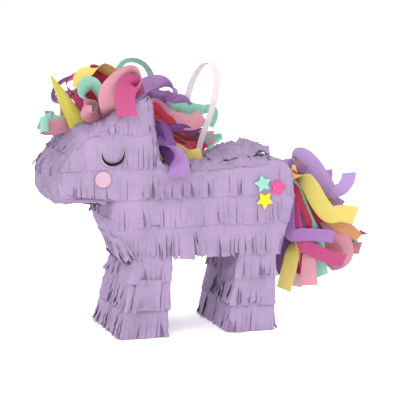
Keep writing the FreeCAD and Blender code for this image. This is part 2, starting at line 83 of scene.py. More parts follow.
# ---------------------------------------------------------------- node materials

class Nodes:
    """A short way to write one material's node tree."""

    def __init__(self, name):
        self.material = bpy.data.materials.new(name)
        self.material.use_nodes = True
        self.tree = self.material.node_tree
        self.shader = self.tree.nodes["Principled BSDF"]

    def add(self, kind, **inputs):
        """A node of that kind; an input is a number, a colour or another node's output."""
        node = self.tree.nodes.new(kind)
        for key, value in inputs.items():
            if hasattr(node, key):
                setattr(node, key, value)
                continue
            numbered = key[0] == "i" and key[1:].isdigit()
            socket = node.inputs[int(key[1:]) if numbered else key.replace("_", " ")]
            if isinstance(value, bpy.types.NodeSocket):
                self.tree.links.new(value, socket)
            else:
                socket.default_value = value
        return node

    def link(self, output, key):
        """Links an output to an input of the shader."""
        self.tree.links.new(output, self.shader.inputs[key])

    def set(self, **values):
        """Sets uniform values on the shader's own sockets."""
        for key, value in values.items():
            self.shader.inputs[key.replace("_", " ")].default_value = value

    def coordinates(self, kind):
        """Texture coordinates: UV in millimetres or Object in metres."""
        return self.add("ShaderNodeTexCoord").outputs[kind]

    def noise(self, vector, scale, detail=3.0, roughness=0.5):
        """A noise texture's factor."""
        return self.add("ShaderNodeTexNoise", Vector=vector, Scale=scale, Detail=detail,
                        Roughness=roughness).outputs["Fac"]

    def mapping(self, vector, scale):
        """Stretched coordinates."""
        return self.add("ShaderNodeMapping", Vector=vector, Scale=scale).outputs["Vector"]

    def math(self, operation, a, b):
        """A math node's value."""
        return self.add("ShaderNodeMath", operation=operation, i0=a, i1=b).outputs[0]

    def blend(self, a, b, share):
        """Two factors added; share is the first one's weight."""
        return self.math("ADD", self.math("MULTIPLY", a, share), self.math("MULTIPLY", b, 1.0 - share))

    def tint(self, factor, colour, *stops):
        """The surface's colour; stops are (place, how much darker or lighter)."""
        ramp = self.add("ShaderNodeValToRGB", Fac=factor)
        elements = ramp.color_ramp.elements
        while len(elements) < len(stops):
            elements.new(0.5)
        for element, (place, light) in zip(elements, stops):
            element.position = place
            element.color = (*shade(colour, light), 1.0)
        self.link(ramp.outputs["Color"], "Base Color")

    def rough(self, factor, low, high):
        """Roughness between two values."""
        node = self.add("ShaderNodeMapRange", Value=factor, To_Min=low, To_Max=high)
        self.link(node.outputs["Result"], "Roughness")

    def bump(self, *heights):
        """Stacks bumps: heights are (value, strength, distance in metres)."""
        below = {}
        for value, strength, distance in heights:
            node = self.add("ShaderNodeBump", Height=value, Strength=strength, Distance=distance, **below)
            below = {"Normal": node.outputs["Normal"]}
        self.link(below["Normal"], "Normal")


# How much of the studio light a surface gives back for its display colour.
EXPOSURE = 0.72


def srgb(red, green, blue):
    """The albedo that shows as a display colour, 0 to 255, under the studio light."""
    values = []
    for value in (red, green, blue):
        share = value / 255.0
        linear = share / 12.92 if share <= 0.04045 else ((share + 0.055) / 1.055) ** 2.4
        values.append(linear * EXPOSURE)
    return tuple(values)


def shade(colour, factor):
    """A lighter or darker colour."""
    return tuple(min(1.0, value * factor) for value in colour)


def crepe(name, colour, fold=1.0):
    """Crepe tissue: soft and matt, crinkled along the cut, blotchy, with cloudy creases."""
    m = Nodes(name)
    uv, place = m.coordinates("UV"), m.coordinates("Object")
    cloud = m.noise(place, 45.0, 5.0, 0.6)
    fibre = m.noise(m.mapping(uv, (0.35, 2.4, 1.0)), 3.2, 4.0, 0.65)
    m.tint(m.blend(cloud, fibre, 0.7), colour, (0.32, 0.82), (0.5, 1.0), (0.7, 1.12))
    crinkle = m.noise(m.mapping(uv, (2.4, 0.3, 1.0)), 1.5, 3.0, 0.65)
    crease = m.noise(place, 260.0, 5.0, 0.65)
    m.bump((crease, 0.45 * fold, 0.0016), (crinkle, 0.7, 0.0009), (fibre, 0.3, 0.0003))
    m.rough(fibre, 0.78, 0.95)
    m.set(Specular_IOR_Level=0.25, Sheen_Weight=0.18, Sheen_Roughness=0.5,
          Sheen_Tint=(*shade(colour, 1.3), 1.0))
    return m.material


def paper(name, colour, gloss=0.42, glow=0.0):
    """Smooth wrapping paper: a faint fibre, long soft creases across the strip and a low gloss."""
    m = Nodes(name)
    uv = m.coordinates("UV")
    fibre = m.noise(uv, 2.6, 4.0, 0.7)
    along = m.noise(m.mapping(uv, (0.16, 0.02, 1.0)), 3.0, 2.0, 0.5)
    m.tint(m.blend(along, fibre, 0.65), colour, (0.32, 0.94), (0.5, 1.0), (0.7, 1.07))
    m.bump((along, 0.1, 0.0006), (fibre, 0.1, 0.0001))
    m.rough(fibre, gloss, gloss + 0.2)
    m.set(Specular_IOR_Level=0.4, Subsurface_Weight=glow, Subsurface_Scale=0.002,
          Subsurface_Radius=(1.0, 1.0, 1.0))
    return m.material


def card_board(name, colour):
    """Grey-brown card: pulp blotches, fine fibres and a matt face."""
    m = Nodes(name)
    place = m.coordinates("Object")
    pulp = m.noise(place, 260.0, 5.0, 0.7)
    fibre = m.noise(m.mapping(place, (1.0, 5.0, 1.0)), 420.0, 3.0, 0.7)
    m.tint(pulp, colour, (0.3, 0.78), (0.55, 1.0), (0.75, 1.2))
    m.bump((pulp, 0.3, 0.0003), (fibre, 0.25, 0.0002))
    m.set(Roughness=0.9, Specular_IOR_Level=0.2)
    return m.material


def sheer(name, colour):
    """Translucent woven ribbon with a fine rib across it."""
    m = Nodes(name)
    uv = m.coordinates("UV")
    rib = m.add("ShaderNodeTexWave", Vector=uv, Scale=1.4, Distortion=0.6, Detail=1.0,
                bands_direction="Y")
    m.tint(m.noise(m.mapping(uv, (0.3, 0.06, 1.0)), 2.0, 2.0, 0.5), colour, (0.3, 0.94), (0.7, 1.04))
    m.bump((rib.outputs["Fac"], 0.15, 0.0002))
    m.set(Roughness=0.38, Specular_IOR_Level=0.5, Alpha=0.82, Sheen_Weight=0.1)
    return m.material


LAVENDER = srgb(194, 169, 208)
TISSUE = crepe("lavender_tissue", LAVENDER)
# The crumpled wraps: the same tissue with deeper creases, 0.9 as bright as painted shade in their folds.
CRUMPLED_TISSUE_SHADED = crepe("crumpled_tissue_shaded", shade(LAVENDER, 0.9), fold=2.6)
# The tissue under the fringe, the same lavender at 0.85: painted shade that shows in the slits between the
# tabs.
UNDER_TISSUE_SHADED = crepe("under_tissue_shaded", shade(LAVENDER, 0.85))
CARD = card_board("grey_card", srgb(168, 148, 122))

PAPER_COLOURS = {
    "lavender": srgb(172, 160, 214),
    "purple_light": srgb(178, 140, 202),
    "purple": srgb(164, 116, 184),
    "violet": srgb(116, 62, 142),
    "mint": srgb(146, 208, 188),
    "dusty": srgb(220, 146, 164),
    "rose": srgb(186, 100, 118),
    "pale_pink": srgb(220, 180, 188),
    "crimson": srgb(190, 34, 60),
    "maroon": srgb(134, 54, 66),
    "magenta": srgb(206, 60, 124),
    "hot_pink": srgb(192, 62, 124),
    "orange": srgb(214, 144, 84),
    "gold": srgb(226, 178, 84),
    "yellow": srgb(230, 208, 100),
}
PAPER_LIGHT, PAPER_GLOW = 1.08, 0.12
PAPERS = {name: paper("paper_" + name, shade(colour, PAPER_LIGHT), glow=PAPER_GLOW)
          for name, colour in PAPER_COLOURS.items()}


# ---------------------------------------------------------------- mesh building

TISSUE_THICKNESS = 0.16 * MM
THICK_TISSUE = 0.2 * MM
HORN_THICKNESS = 0.3 * MM
STRIP_THICKNESS = 0.14 * MM


def grid_of(*values):
    """Arrays and numbers of one grid, side by side on a last axis."""
    return np.stack(np.broadcast_arrays(*values), axis=-1)


def placed(name, data):
    """A new object in the scene."""
    thing = bpy.data.objects.new(name, data)
    bpy.context.scene.collection.objects.link(thing)
    return thing


def thicken(piece, thickness, offset):
    """Gives a sheet its thickness in metres, on both sides with offset 0."""
    solid = piece.modifiers.new("thickness", "SOLIDIFY")
    solid.thickness, solid.offset = thickness, offset
    return solid


class Sheet:
    """Collects quads and their UVs (in millimetres) and makes one object of them."""

    def __init__(self, name):
        self.name = name
        self.points = []
        self.faces = []
        self.uvs = []
        self.slots = []
        self.smooth = []
        self.count = 0

    def grid(self, points, uv, slot=0, skip=None, flip=False, facets=False):
        """Adds a grid of points (rows, columns, 3) as quads; skip[row, column] leaves one out."""
        rows, columns = points.shape[:2]
        start = self.count
        self.points.append(points.reshape(-1, 3))
        flat_uv = uv.reshape(-1, 2)
        for row in range(rows - 1):
            for column in range(columns - 1):
                if skip is not None and skip[row, column]:
                    continue
                a = row * columns + column
                quad = [a, a + 1, a + columns + 1, a + columns]
                if flip:
                    quad.reverse()
                self.faces.append([start + corner for corner in quad])
                self.uvs.extend(flat_uv[quad])
                self.slots.append(slot)
                self.smooth.append(not facets)
        self.count += rows * columns

    def make(self, materials, thickness, offset=0.0):
        """The object, with a thickness in metres."""
        mesh = bpy.data.meshes.new(self.name)
        mesh.from_pydata(np.concatenate(self.points).tolist(), [], self.faces)
        layer = mesh.uv_layers.new(name="UVMap")
        layer.data.foreach_set("uv", np.asarray(self.uvs, dtype=np.float32).ravel())
        for material in materials:
            mesh.materials.append(material)
        mesh.polygons.foreach_set("material_index", self.slots)
        mesh.polygons.foreach_set("use_smooth", self.smooth)
        mesh.update()
        piece = placed(self.name, mesh)
        thicken(piece, thickness, offset)
        piece.modifiers.new("flat_faces", "WEIGHTED_NORMAL").weight = 100
        return piece


def unit(vectors):
    """Vectors scaled to length one."""
    return vectors / np.maximum(np.linalg.norm(vectors, axis=-1, keepdims=True), 1e-12)


def field(points, scale, seed):
    """Smooth noise, -1 to 1, at each point; scale is its size in metres."""
    shift = Vector((seed * 7.13, seed * 3.71, seed * 5.37))
    flat = points.reshape(-1, 3) / scale
    values = [noise.noise(Vector(point) + shift) for point in flat.tolist()]
    return np.array(values).reshape(points.shape[:-1])


def ridges(points, scale, seed):
    """Crumpled paper: flat facets that meet in ridges, 0 in the valleys and 1 on the ridges."""
    return np.maximum(1.0 - np.abs(field(points, scale, seed)) * 2.2, 0.0)


def finish_piece(piece, body, slot, *nodes):
    """Rides a piece on its body and hides the CAD nodes it stands for; slot is not used."""
    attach(piece, body)
    if nodes:
        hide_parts(*nodes)


def tissue_piece(sheet, node, *materials, thickness=TISSUE_THICKNESS, body="shell"):
    """Makes a sheet of tissue and puts it in its CAD node's place."""
    finish_piece(sheet.make(materials, thickness), body, "tissue", node)


# ---------------------------------------------------------------- the shell's outline

def node_points(node):
    """A CAD node's vertices in millimetres."""
    return np.array([tuple(vertex.co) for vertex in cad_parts[node].data.vertices]) / MM


def face_outline(node, side=-1.0):
    """The edge of a flat node's outer face on one side of the animal, as (x, z) in millimetres."""
    world = node_points(node)
    outer = (world[:, 1] * side).max()
    counts = {}
    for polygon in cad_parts[node].data.polygons:
        if min(world[index][1] * side for index in polygon.vertices) < outer - 0.05:
            continue
        corners = [tuple(np.round(world[index][[0, 2]], 2)) for index in polygon.vertices]
        for a, b in zip(corners, corners[1:] + corners[:1]):
            key = (min(a, b), max(a, b))
            counts[key] = counts.get(key, 0) + 1
    neighbours = {}
    for (a, b), times in counts.items():
        if times == 1:
            neighbours.setdefault(a, []).append(b)
            neighbours.setdefault(b, []).append(a)
    start = min(neighbours)
    loop, before, here = [start], None, start
    while True:
        after = next(point for point in neighbours[here] if point != before)
        if after == start:
            break
        loop.append(after)
        before, here = here, after
    points = np.array(loop)
    rolled = np.roll(points, -1, axis=0)
    area = np.sum(points[:, 0] * rolled[:, 1] - rolled[:, 0] * points[:, 1])
    return points[::-1] if area > 0.0 else points


def resampled(points, step):
    """A closed loop with points every step."""
    closed = np.vstack([points, points[:1]])
    lengths = np.r_[0.0, np.cumsum(np.linalg.norm(np.diff(closed, axis=0), axis=1))]
    places = np.arange(0.0, lengths[-1], step)
    return np.stack([np.interp(places, lengths, closed[:, axis]) for axis in (0, 1)], axis=1)


STEP = 0.5
OUTLINE = resampled(face_outline("side_panel_left"), STEP)
LEVELS = np.arange(56.0, 170.0, 0.25)


def span_at(levels):
    """The outline's front and rear x at each level, and above its top the last ones."""
    ends = np.roll(OUTLINE, -1, axis=0)
    spans = []
    for level in levels:
        hit = (OUTLINE[:, 1] - level) * (ends[:, 1] - level) <= 0.0
        spans.append((OUTLINE[hit, 0].min(), OUTLINE[hit, 0].max()) if hit.any() else spans[-1])
    return np.array(spans).T


LEFT_EDGE, RIGHT_EDGE = span_at(LEVELS)
COLUMNS = np.arange(OUTLINE[:, 0].min(), OUTLINE[:, 0].max(), 0.25)
TOP_EDGE = np.array([OUTLINE[np.abs(OUTLINE[:, 0] - x) < 0.6, 1].max() for x in COLUMNS])


def top_edge(x):
    """Height of the outline's top above each x."""
    return np.interp(x, COLUMNS, TOP_EDGE)


def box_mm(node):
    """A CAD node's lowest and highest corner in millimetres."""
    low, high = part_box(node)
    return np.array(low) / MM, np.array(high) / MM


FLANK = -box_mm("side_panel_left")[0][1]
SIDES = (("left", -1.0), ("right", 1.0))


class Path:
    """A stretch of the outline, clockwise from one point to another, with smoothed outward normals."""

    def __init__(self, start, end, soften=2.0):
        first = int(np.argmin(np.linalg.norm(OUTLINE - start, axis=1)))
        last = int(np.argmin(np.linalg.norm(OUTLINE - end, axis=1)))
        count = (last - first) % len(OUTLINE)
        order = (first + np.arange(count + 1)) % len(OUTLINE)
        reach = int(soften / STEP)
        tangents = np.roll(OUTLINE, -reach, axis=0) - np.roll(OUTLINE, reach, axis=0)
        tangents = unit(tangents)[order]
        self.points = OUTLINE[order]
        self.normals = np.stack([-tangents[:, 1], tangents[:, 0]], axis=1)
        self.places = np.arange(count + 1) * STEP
        self.length = self.places[-1]

    def around(self, s, t, h):
        """Points s along the path and t across the body, h proud; past the flank's edge it folds over."""
        inset = np.maximum(np.abs(t) - FLANK, 0.0)
        turn = smooth(inset / 1.5)
        base = [np.interp(s, self.places, self.points[:, axis]) for axis in (0, 1)]
        normal = [np.interp(s, self.places, self.normals[:, axis]) for axis in (0, 1)]
        out = h * (1.0 - turn) - inset
        y = np.sign(t) * (np.minimum(np.abs(t), FLANK) + h * turn)
        return grid_of(base[0] + normal[0] * out, y, base[1] + normal[1] * out) * MM


# ---------------------------------------------------------------- fringed tissue

def pressed_spots(*nodes):
    """Centre and radius of each sticker on a flank."""
    spots = []
    for node in nodes:
        low, high = box_mm(node)
        x, _, z = (low + high) / 2
        spots.append((x, z, max(high[0] - low[0], high[2] - low[2]) / 2))
    return spots


PRESSED = pressed_spots("eye_left", "cheek_left", "star_mint", "star_pink", "star_yellow")


def calm(x, z):
    """1 away from the stickers, less under them, where the tissue is pressed flat."""
    factor = np.ones_like(x)
    for centre_x, centre_z, radius in PRESSED:
        distance = np.hypot(x - centre_x, z - centre_z)
        factor = np.minimum(factor, 0.25 + 0.75 * smooth((distance - radius) / 4.0))
    return factor


TAB_ROWS = 15
TAB_PITCH = 1.1
WIDE_TAB = (6.0, 12.0)
LEAST_HEIGHT = 0.15


def fringe(sheet, place, name, start, end, length, lift=(0.4, 0.8), tab=(1.5, 4.6), mess=1.0,
           band=0.15, wide=0.13, ragged=0.025, tuck=1.0, quiet=None):
    """One row of fringe. place(u, v, h) turns millimetres along, down and out into points."""
    whole_mess = mess
    dice = rng(name)
    seed = dice.uniform(0.0, 50.0)
    rows = np.linspace(0.0, 1.0, TAB_ROWS)[:, None]
    u = start
    while u < end - 0.6:
        width = dice.uniform(*tab) if dice.random() > wide else dice.uniform(*WIDE_TAB)
        width = min(width, end - u)
        columns = max(4, int(width / TAB_PITCH) + 2)
        q = np.linspace(-1.0, 1.0, columns)[None, :]
        row_length = length(u + width / 2) if callable(length) else length
        patch = smooth(0.5 + noise.noise(Vector((u / 16.0, seed, 0.0))) * 1.5)
        if quiet and quiet[0] < u < quiet[1]:
            patch = 0.0
        mess = whole_mess * lerp(0.45, 1.5, float(patch))
        cut = row_length * (1.0 + max(-2.0, min(1.0, dice.gauss(0.0, 1.0))) * ragged * mess)
        open_ = smooth((rows - band - dice.uniform(-0.05, 0.45)) / 0.3)
        gap = max(0.0, dice.uniform(-0.3, 0.5)) * mess * tuck
        lean = dice.gauss(0.0, 0.5) * mess * tuck
        proud = abs(dice.gauss(0.0, 0.32)) * mess
        twist = dice.gauss(0.0, 0.32) * mess
        cup = dice.gauss(0.0, 0.2) * mess
        slope = dice.gauss(0.0, ragged) * mess * min(1.0, 3.0 / width)
        across = u + width / 2 + q * (width / 2 - open_ * gap / 2) + lean * open_ * rows
        down = rows * cut * (1.0 + slope * q)
        out = lerp(*lift, rows ** 1.4) + open_ * (proud * rows + twist * q * rows + cup * q ** 2)
        luck = dice.random() / max(tuck, 0.1)
        if luck < 0.12 * mess:
            curl = smooth((rows - 0.72) / 0.28)
            out = out + curl * dice.uniform(0.8, 2.4)
            down = down - curl * dice.uniform(0.6, 2.0)
        elif luck < 0.3 * mess:
            hand = dice.choice((-1.0, 1.0))
            corner = smooth((rows + 0.35 * hand * q - 0.78) / 0.4)
            out = out + corner * dice.uniform(0.6, 1.8)
            across = across - hand * corner * dice.uniform(0.5, 2.2)
        grain = place(across, down, 0.0 * out)
        ripple = field(grain, 0.0042, seed) * 0.4 + ridges(grain, 0.0036, seed + 9.0) * 0.45
        out = out + ripple * (0.5 + 0.5 * open_) * mess
        sheet.grid(place(across, down, np.maximum(out, LEAST_HEIGHT)), grid_of(across, down))
        u += width


def flank_place(side, top):
    """Places a row on a flank: u is x, v runs down from top(x), and the edges stop at the outline."""
    def place(u, v, h):
        z = np.minimum(top(u) - v, top_edge(u) - 0.4)
        x = np.clip(u, np.interp(z, LEVELS, LEFT_EDGE) + 0.2, np.interp(z, LEVELS, RIGHT_EDGE) - 0.2)
        press = calm(x, z)
        out = 0.35 + (h - 0.35) * press
        return grid_of(x, side * (FLANK + out), z) * MM
    return place


BACK_START = -46.0


def body_top(level):
    """The top of the row below the back: that level on the head, the back's edge behind it."""
    def top(x):
        return np.where(x < BACK_START, level, top_edge(x) - 0.3)
    return top


def level_top(level):
    """A straight top."""
    return lambda x: np.full_like(x, level, dtype=float)


# Each row of a flank: its top, the height its tabs hang down to and how messy they are.
FLANK_ROWS = {
    "ear": (lambda x: top_edge(x) - 0.3, 142.5, 1.0),
    "brow": (level_top(144.5), 118.5, 0.6),
    "cheek": (body_top(120.5), 97.0, 0.7),
    "flank": (level_top(98.5), 76.6, 1.3),
    "belly": (level_top(78.5), 54.6, 1.0),
}
# The stretch of the flank row, along X, that lies flat.
QUIET_FLANK = (-40.0, -9.0)
NEAT, RAGGED = 0.006, 0.03
UNDER_HEIGHT = 0.2


def flank_row(row, word, side):
    """One row on a flank: a plain sheet under it, darker as painted shade in the slits, and its fringe."""
    top, bottom, mess = FLANK_ROWS[row]
    node = f"fringe_{row}_{word}"
    low, high = box_mm(node)
    end = min(high[0], BACK_START) if row == "brow" else high[0]
    sheet = Sheet(f"{row}_fringe_{word}")
    place = flank_place(side, top)
    x = np.arange(low[0], end + 1.5, 2.5)[None, :]
    depth = np.linspace(0.0, 1.0, 12)[:, None] * (top(x) - bottom - 1.5)
    sheet.grid(place(x, depth, UNDER_HEIGHT), grid_of(x, depth), slot=1)
    fringe(sheet, place, node, low[0], end, lambda u: float(top(np.array(u))) - bottom, mess=mess,
           ragged=RAGGED if mess >= 1.0 else NEAT, quiet=QUIET_FLANK if row == "flank" else None)
    tissue_piece(sheet, node, TISSUE, UNDER_TISSUE_SHADED)


def flank_rows():
    """Five overlapping rows on each flank, from the ear down to the belly."""
    for word, side in SIDES:
        for row in FLANK_ROWS:
            flank_row(row, word, side)


def path_row(sheet, path, name, first, last, **options):
    """A row of fringe across the body, hanging from first to last along the path, either way."""
    sense = 1.0 if last > first else -1.0

    def place(u, v, h):
        near_edge = 0.3 + 0.7 * smooth((FLANK + 1.0 - np.abs(u)) / 9.0)
        return path.around(first + sense * v, u, h * near_edge)
    edge = FLANK + options.pop("over", 0.0)
    fringe(sheet, place, name, -edge, edge, abs(last - first), **options)


def wrap(name, path, seed, lift=0.6, amount=1.4, size=7.0, over=2.5, along=1.0, bulge=0.0,
         hole=None, pitch=2.2, ceiling=None):
    """A new, crumpled sheet over the edge of the body. along > 1 stretches the folds down the path."""
    dice = np.random.default_rng(seed)
    s = np.arange(0.0, path.length + pitch / 2, pitch)[:, None]
    t = np.arange(-FLANK - over, FLANK + over + pitch / 2, pitch)[None, :]
    s, t = (line + dice.uniform(-0.32, 0.32, (s.size, t.size)) * pitch for line in (s, t))
    grain = grid_of(s / along, t, 0.0) * MM
    big = ridges(grain, size * MM, seed)
    small = ridges(grain, size * 0.42 * MM, seed + 3)
    loose = field(grain, size * 2.3 * MM, seed + 6) * 0.5 + 0.5
    edge = np.minimum(1.0, 0.35 + np.maximum(FLANK - np.abs(t), 0.0) / 5.0)
    dome = (1.0 - (t / FLANK) ** 2).clip(0.0, 1.0) ** 0.5
    ends = np.sin(np.pi * (s / path.length).clip(0.0, 1.0)) ** 0.6
    fine = dice.uniform(-0.3, 0.3, s.shape)
    h = lift + amount * (0.6 * big + 0.4 * small + fine) * (0.5 + loose) * edge + bulge * dome * ends
    wander = field(grain, size * MM, seed + 12) * 0.8
    skip = None
    if hole is not None:
        x = path.around(s, t, 0.0)[..., 0]
        inside = (x > hole[0]) & (x < hole[1]) & (np.abs(t) * MM < hole[2])
        skip = inside[:-1, :-1] & inside[1:, 1:]
    points = path.around(s + wander * 0.4, t, h)
    if ceiling is not None:
        z = points[..., 2]
        between = np.abs(t) < FLANK - 1.5
        points[..., 2] = np.where(between, np.minimum(z, (ceiling + 0.6 * h) * MM), z)
    sheet = Sheet(name)
    sheet.grid(points, grid_of(t, s), skip=skip, facets=True)
    return sheet


def node_path(*nodes, before=0.0, after=0.0):
    """The stretch of the outline that some CAD nodes cover, longer at its ends by before and after."""
    found = set()
    for node in nodes:
        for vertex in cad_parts[node].data.vertices:
            point = np.array((vertex.co.x, vertex.co.z)) / MM
            found.add(int(np.argmin(np.linalg.norm(OUTLINE - point, axis=1))))
    places = sorted(found)
    gaps = [(b - a) % len(OUTLINE) for a, b in zip(places, places[1:] + places[:1])]
    widest = int(np.argmax(gaps))
    first = places[(widest + 1) % len(places)] - int(before / STEP)
    last = places[widest] + int(after / STEP)
    return Path(OUTLINE[first % len(OUTLINE)], OUTLINE[last % len(OUTLINE)])


def ear_lining(sheet, side, poll):
    """The tissue on an ear's inner face, from the top of the head to the ear's point."""
    x = COLUMNS[TOP_EDGE > poll - 1.0][::4][None, :]
    z = lerp(poll - 1.5, top_edge(x) - 0.1, np.linspace(0.0, 1.0, 6)[:, None])
    grain = grid_of(x, z, 0.0) * MM
    y = side * (FLANK - 1.9 - 0.3 * np.abs(field(grain, 0.002, 41.0)))
    sheet.grid(grid_of(x, y, z) * MM, grid_of(x, z), facets=True)


def front_tissue():
    """The muzzle, forehead, crown, nape, back, rump and chest: crumpled wraps with short fringe."""
    path = node_path("tissue_muzzle", before=3.0, after=2.0)
    sheet = wrap("muzzle_tissue", path, 2, amount=1.9, size=6.5, along=2.2, bulge=3.2, pitch=2.6)
    nose = path.length
    path_row(sheet, path, "muzzle_low", nose * 0.36, nose * 0.02, lift=(3.6, 2.4), mess=1.2, over=0.5)
    path_row(sheet, path, "muzzle_high", nose * 0.99, nose * 0.7, lift=(1.6, 3.0), mess=1.1, over=0.5)
    tissue_piece(sheet, "tissue_muzzle", CRUMPLED_TISSUE_SHADED)

    path = node_path("tissue_forehead", before=3.0, after=5.0)
    sheet = wrap("forehead_tissue", path, 5, amount=3.4, size=6.0, along=2.4, bulge=0.8, pitch=2.0)
    path_row(sheet, path, "forehead_low", path.length * 0.3, -1.5, lift=(1.6, 2.6), mess=1.8, over=1.0)
    tissue_piece(sheet, "tissue_forehead", CRUMPLED_TISSUE_SHADED)

    poll = box_mm("crown_band")[1][2]
    path = node_path("tissue_crown", before=5.0, after=1.0)
    sheet = wrap("crown_tissue", path, 8, amount=1.8, size=5.5, along=1.3, over=2.0, ceiling=poll)
    for _, side in SIDES:
        ear_lining(sheet, side, poll)
    tissue_piece(sheet, "tissue_crown", CRUMPLED_TISSUE_SHADED)

    path = node_path("tissue_nape", before=6.0, after=2.0)
    sheet = wrap("nape_tissue", path, 11, amount=1.6, size=6.5, along=1.4, ceiling=poll)
    path_row(sheet, path, "nape_high", 1.0, path.length * 0.6, lift=(1.0, 2.4), mess=1.2)
    path_row(sheet, path, "nape_low", path.length * 0.5, path.length - 1.0, lift=(0.9, 2.2), mess=1.2)
    tissue_piece(sheet, "tissue_nape", CRUMPLED_TISSUE_SHADED)

    low, high = box_mm("fill_flap")
    hole = ((low[0] + 5.0) * MM, (high[0] - 3.5) * MM, (high[1] - 4.0) * MM)
    sheet = wrap("back_tissue", node_path("tissue_back"), 14, amount=3.6, hole=hole, pitch=2.3)
    tissue_piece(sheet, "tissue_back", CRUMPLED_TISSUE_SHADED)

    path = node_path("tissue_rump", before=2.0)
    sheet = wrap("rump_tissue", path, 17, amount=0.8, size=8.0, lift=0.4)
    third = path.length / 3.0
    for number, mess in enumerate((0.9, 1.1, 1.1)):
        path_row(sheet, path, f"rump_{number}", third * number, third * (number + 1) + 1.5, mess=mess)
    tissue_piece(sheet, "tissue_rump", TISSUE)

    for word, lift in (("upper", (0.7, 2.6)), ("lower", (2.0, 4.8))):
        path = node_path(f"fringe_chest_{word}", before=1.0, after=2.0)
        sheet = wrap(f"chest_{word}_fringe", path, 20, amount=0.8, along=1.6, lift=0.3)
        path_row(sheet, path, f"chest_{word}", path.length, -1.5, lift=lift, mess=1.3, over=1.0)
        if word == "lower":
            path_row(sheet, path, "chest_middle", path.length * 0.55, 0.0, lift=(3.4, 4.6), mess=1.3)
        tissue_piece(sheet, f"fringe_chest_{word}", TISSUE)


# ---------------------------------------------------------------- legs

ARC_STEPS, SIDE_STEPS = 10, 40
LEG_RADIUS = 0.9


def rounded_loop(x0, x1, y0, y1):
    """A rounded rectangle: an arc and a straight side for each corner, the same shares at every size."""
    corners = np.array([(x0, y0), (x1, y0), (x1, y1), (x0, y1)])
    points = []
    for corner, before, after in zip(corners, np.roll(corners, 1, axis=0), np.roll(corners, -1, axis=0)):
        along = (after - corner) / np.linalg.norm(after - corner)
        back = (before - corner) / np.linalg.norm(before - corner)
        centre = corner + (along + back) * LEG_RADIUS
        for step in range(ARC_STEPS):
            angle = math.pi / 2 * step / ARC_STEPS
            points.append(centre - LEG_RADIUS * (along * math.cos(angle) + back * math.sin(angle)))
        start, end = corner + along * LEG_RADIUS, after - along * LEG_RADIUS
        points.extend(start + (end - start) * step / SIDE_STEPS for step in range(SIDE_STEPS))
    return np.array(points)


# The tissue of a leg stays this far from the animal's middle plane.
LEG_GAP = 1.8


class Leg:
    """One leg's outside: a rounded rectangle that widens and shifts from the belly to the floor."""

    def __init__(self, node):
        points = node_points(node)
        self.low, self.high = points[:, 2].min(), points[:, 2].max()
        self.loops = []
        for level in (self.low, self.high):
            ring = points[np.abs(points[:, 2] - level) < 0.3]
            (x0, y0), (x1, y1) = ring[:, :2].min(axis=0) + 0.5, ring[:, :2].max(axis=0) - 0.5
            self.loops.append(rounded_loop(x0, x1, y0, y1))
        middle = (self.loops[0] + self.loops[1]) / 2.0
        tangent = unit(np.roll(middle, -2, axis=0) - np.roll(middle, 2, axis=0))
        self.normals = np.stack([tangent[:, 1], -tangent[:, 0]], axis=1)
        steps = np.linalg.norm(np.roll(middle, -1, axis=0) - middle, axis=1)
        self.round = np.sum(steps)
        self.places = np.r_[0.0, np.cumsum(steps)]
        self.inner = -1.0 if middle[:, 1].mean() > 0.0 else 1.0
        outer = np.abs(middle[:, 1]) > np.abs(middle[:, 1]).max() - 0.1
        # The distance round the leg of the middle of its outer face.
        self.face_middle = float(self.places[:-1][outer].mean())

    def at(self, loop, u):
        """A value of a loop of points at a distance round it."""
        closed = np.vstack([loop, loop[:1]])
        u = np.mod(u, self.places[-1])
        return np.stack([np.interp(u, self.places, closed[:, axis]) for axis in (0, 1)], axis=-1)

    def place(self, top):
        """Places a tier that starts at height top."""
        def place(u, v, h):
            z = np.maximum(top - v, self.low + 0.1)
            share = ((z - self.low) / (self.high - self.low))[..., None]
            spot = lerp(self.at(self.loops[0], u), self.at(self.loops[1], u), share)
            normal = self.at(self.normals, u)
            inward = smooth(normal[..., 1] * self.inner)
            out = h * (1.0 - 0.75 * inward)
            spot = spot + normal * out[..., None]
            spot[..., 1] = -self.inner * np.maximum(-self.inner * spot[..., 1], LEG_GAP)
            return np.concatenate([spot, z[..., None]], axis=-1) * MM
        return place


# Each tier of a leg: top, bottom, mess, lift and how far its tabs move sideways.
LEG_TIERS = (
    (57.5, 38.0, 0.9, (0.3, 0.8), 1.0),
    (40.0, 19.0, 1.4, (0.4, 1.1), 1.0),
    (21.5, -1.0, 1.2, (0.4, 0.6), 0.35),
)


def leg_fringes():
    """Three overlapping tiers of messy fringe on every leg, and a whole square patch on one."""
    for end in ("front", "rear"):
        for word, _ in SIDES:
            node = f"fringe_leg_{end}_{word}"
            leg = Leg(node)
            sheet = Sheet(f"leg_{end}_{word}_fringe")
            u, v = np.broadcast_arrays(np.linspace(0.0, leg.round, 64)[None, :],
                                       np.linspace(0.0, leg.high - leg.low, 14)[:, None])
            # The sheet under the tiers takes the darker under tissue: painted shade in the slits.
            sheet.grid(leg.place(leg.high)(u, v, UNDER_HEIGHT), grid_of(u, v), slot=1)
            for number, (top, bottom, mess, lift, tuck) in enumerate(LEG_TIERS):
                fringe(sheet, leg.place(top), f"{node}_{number}", 0.0, leg.round, top - bottom,
                       lift=lift, mess=mess, tab=(1.8, 5.0), wide=0.12, tuck=tuck)
            if node == "fringe_leg_front_left":
                square(sheet, leg)
            tissue_piece(sheet, node, TISSUE, UNDER_TISSUE_SHADED)


SQUARE_TOP, SQUARE_HALF, SQUARE_HEIGHT = 41.0, 9.5, 21.5


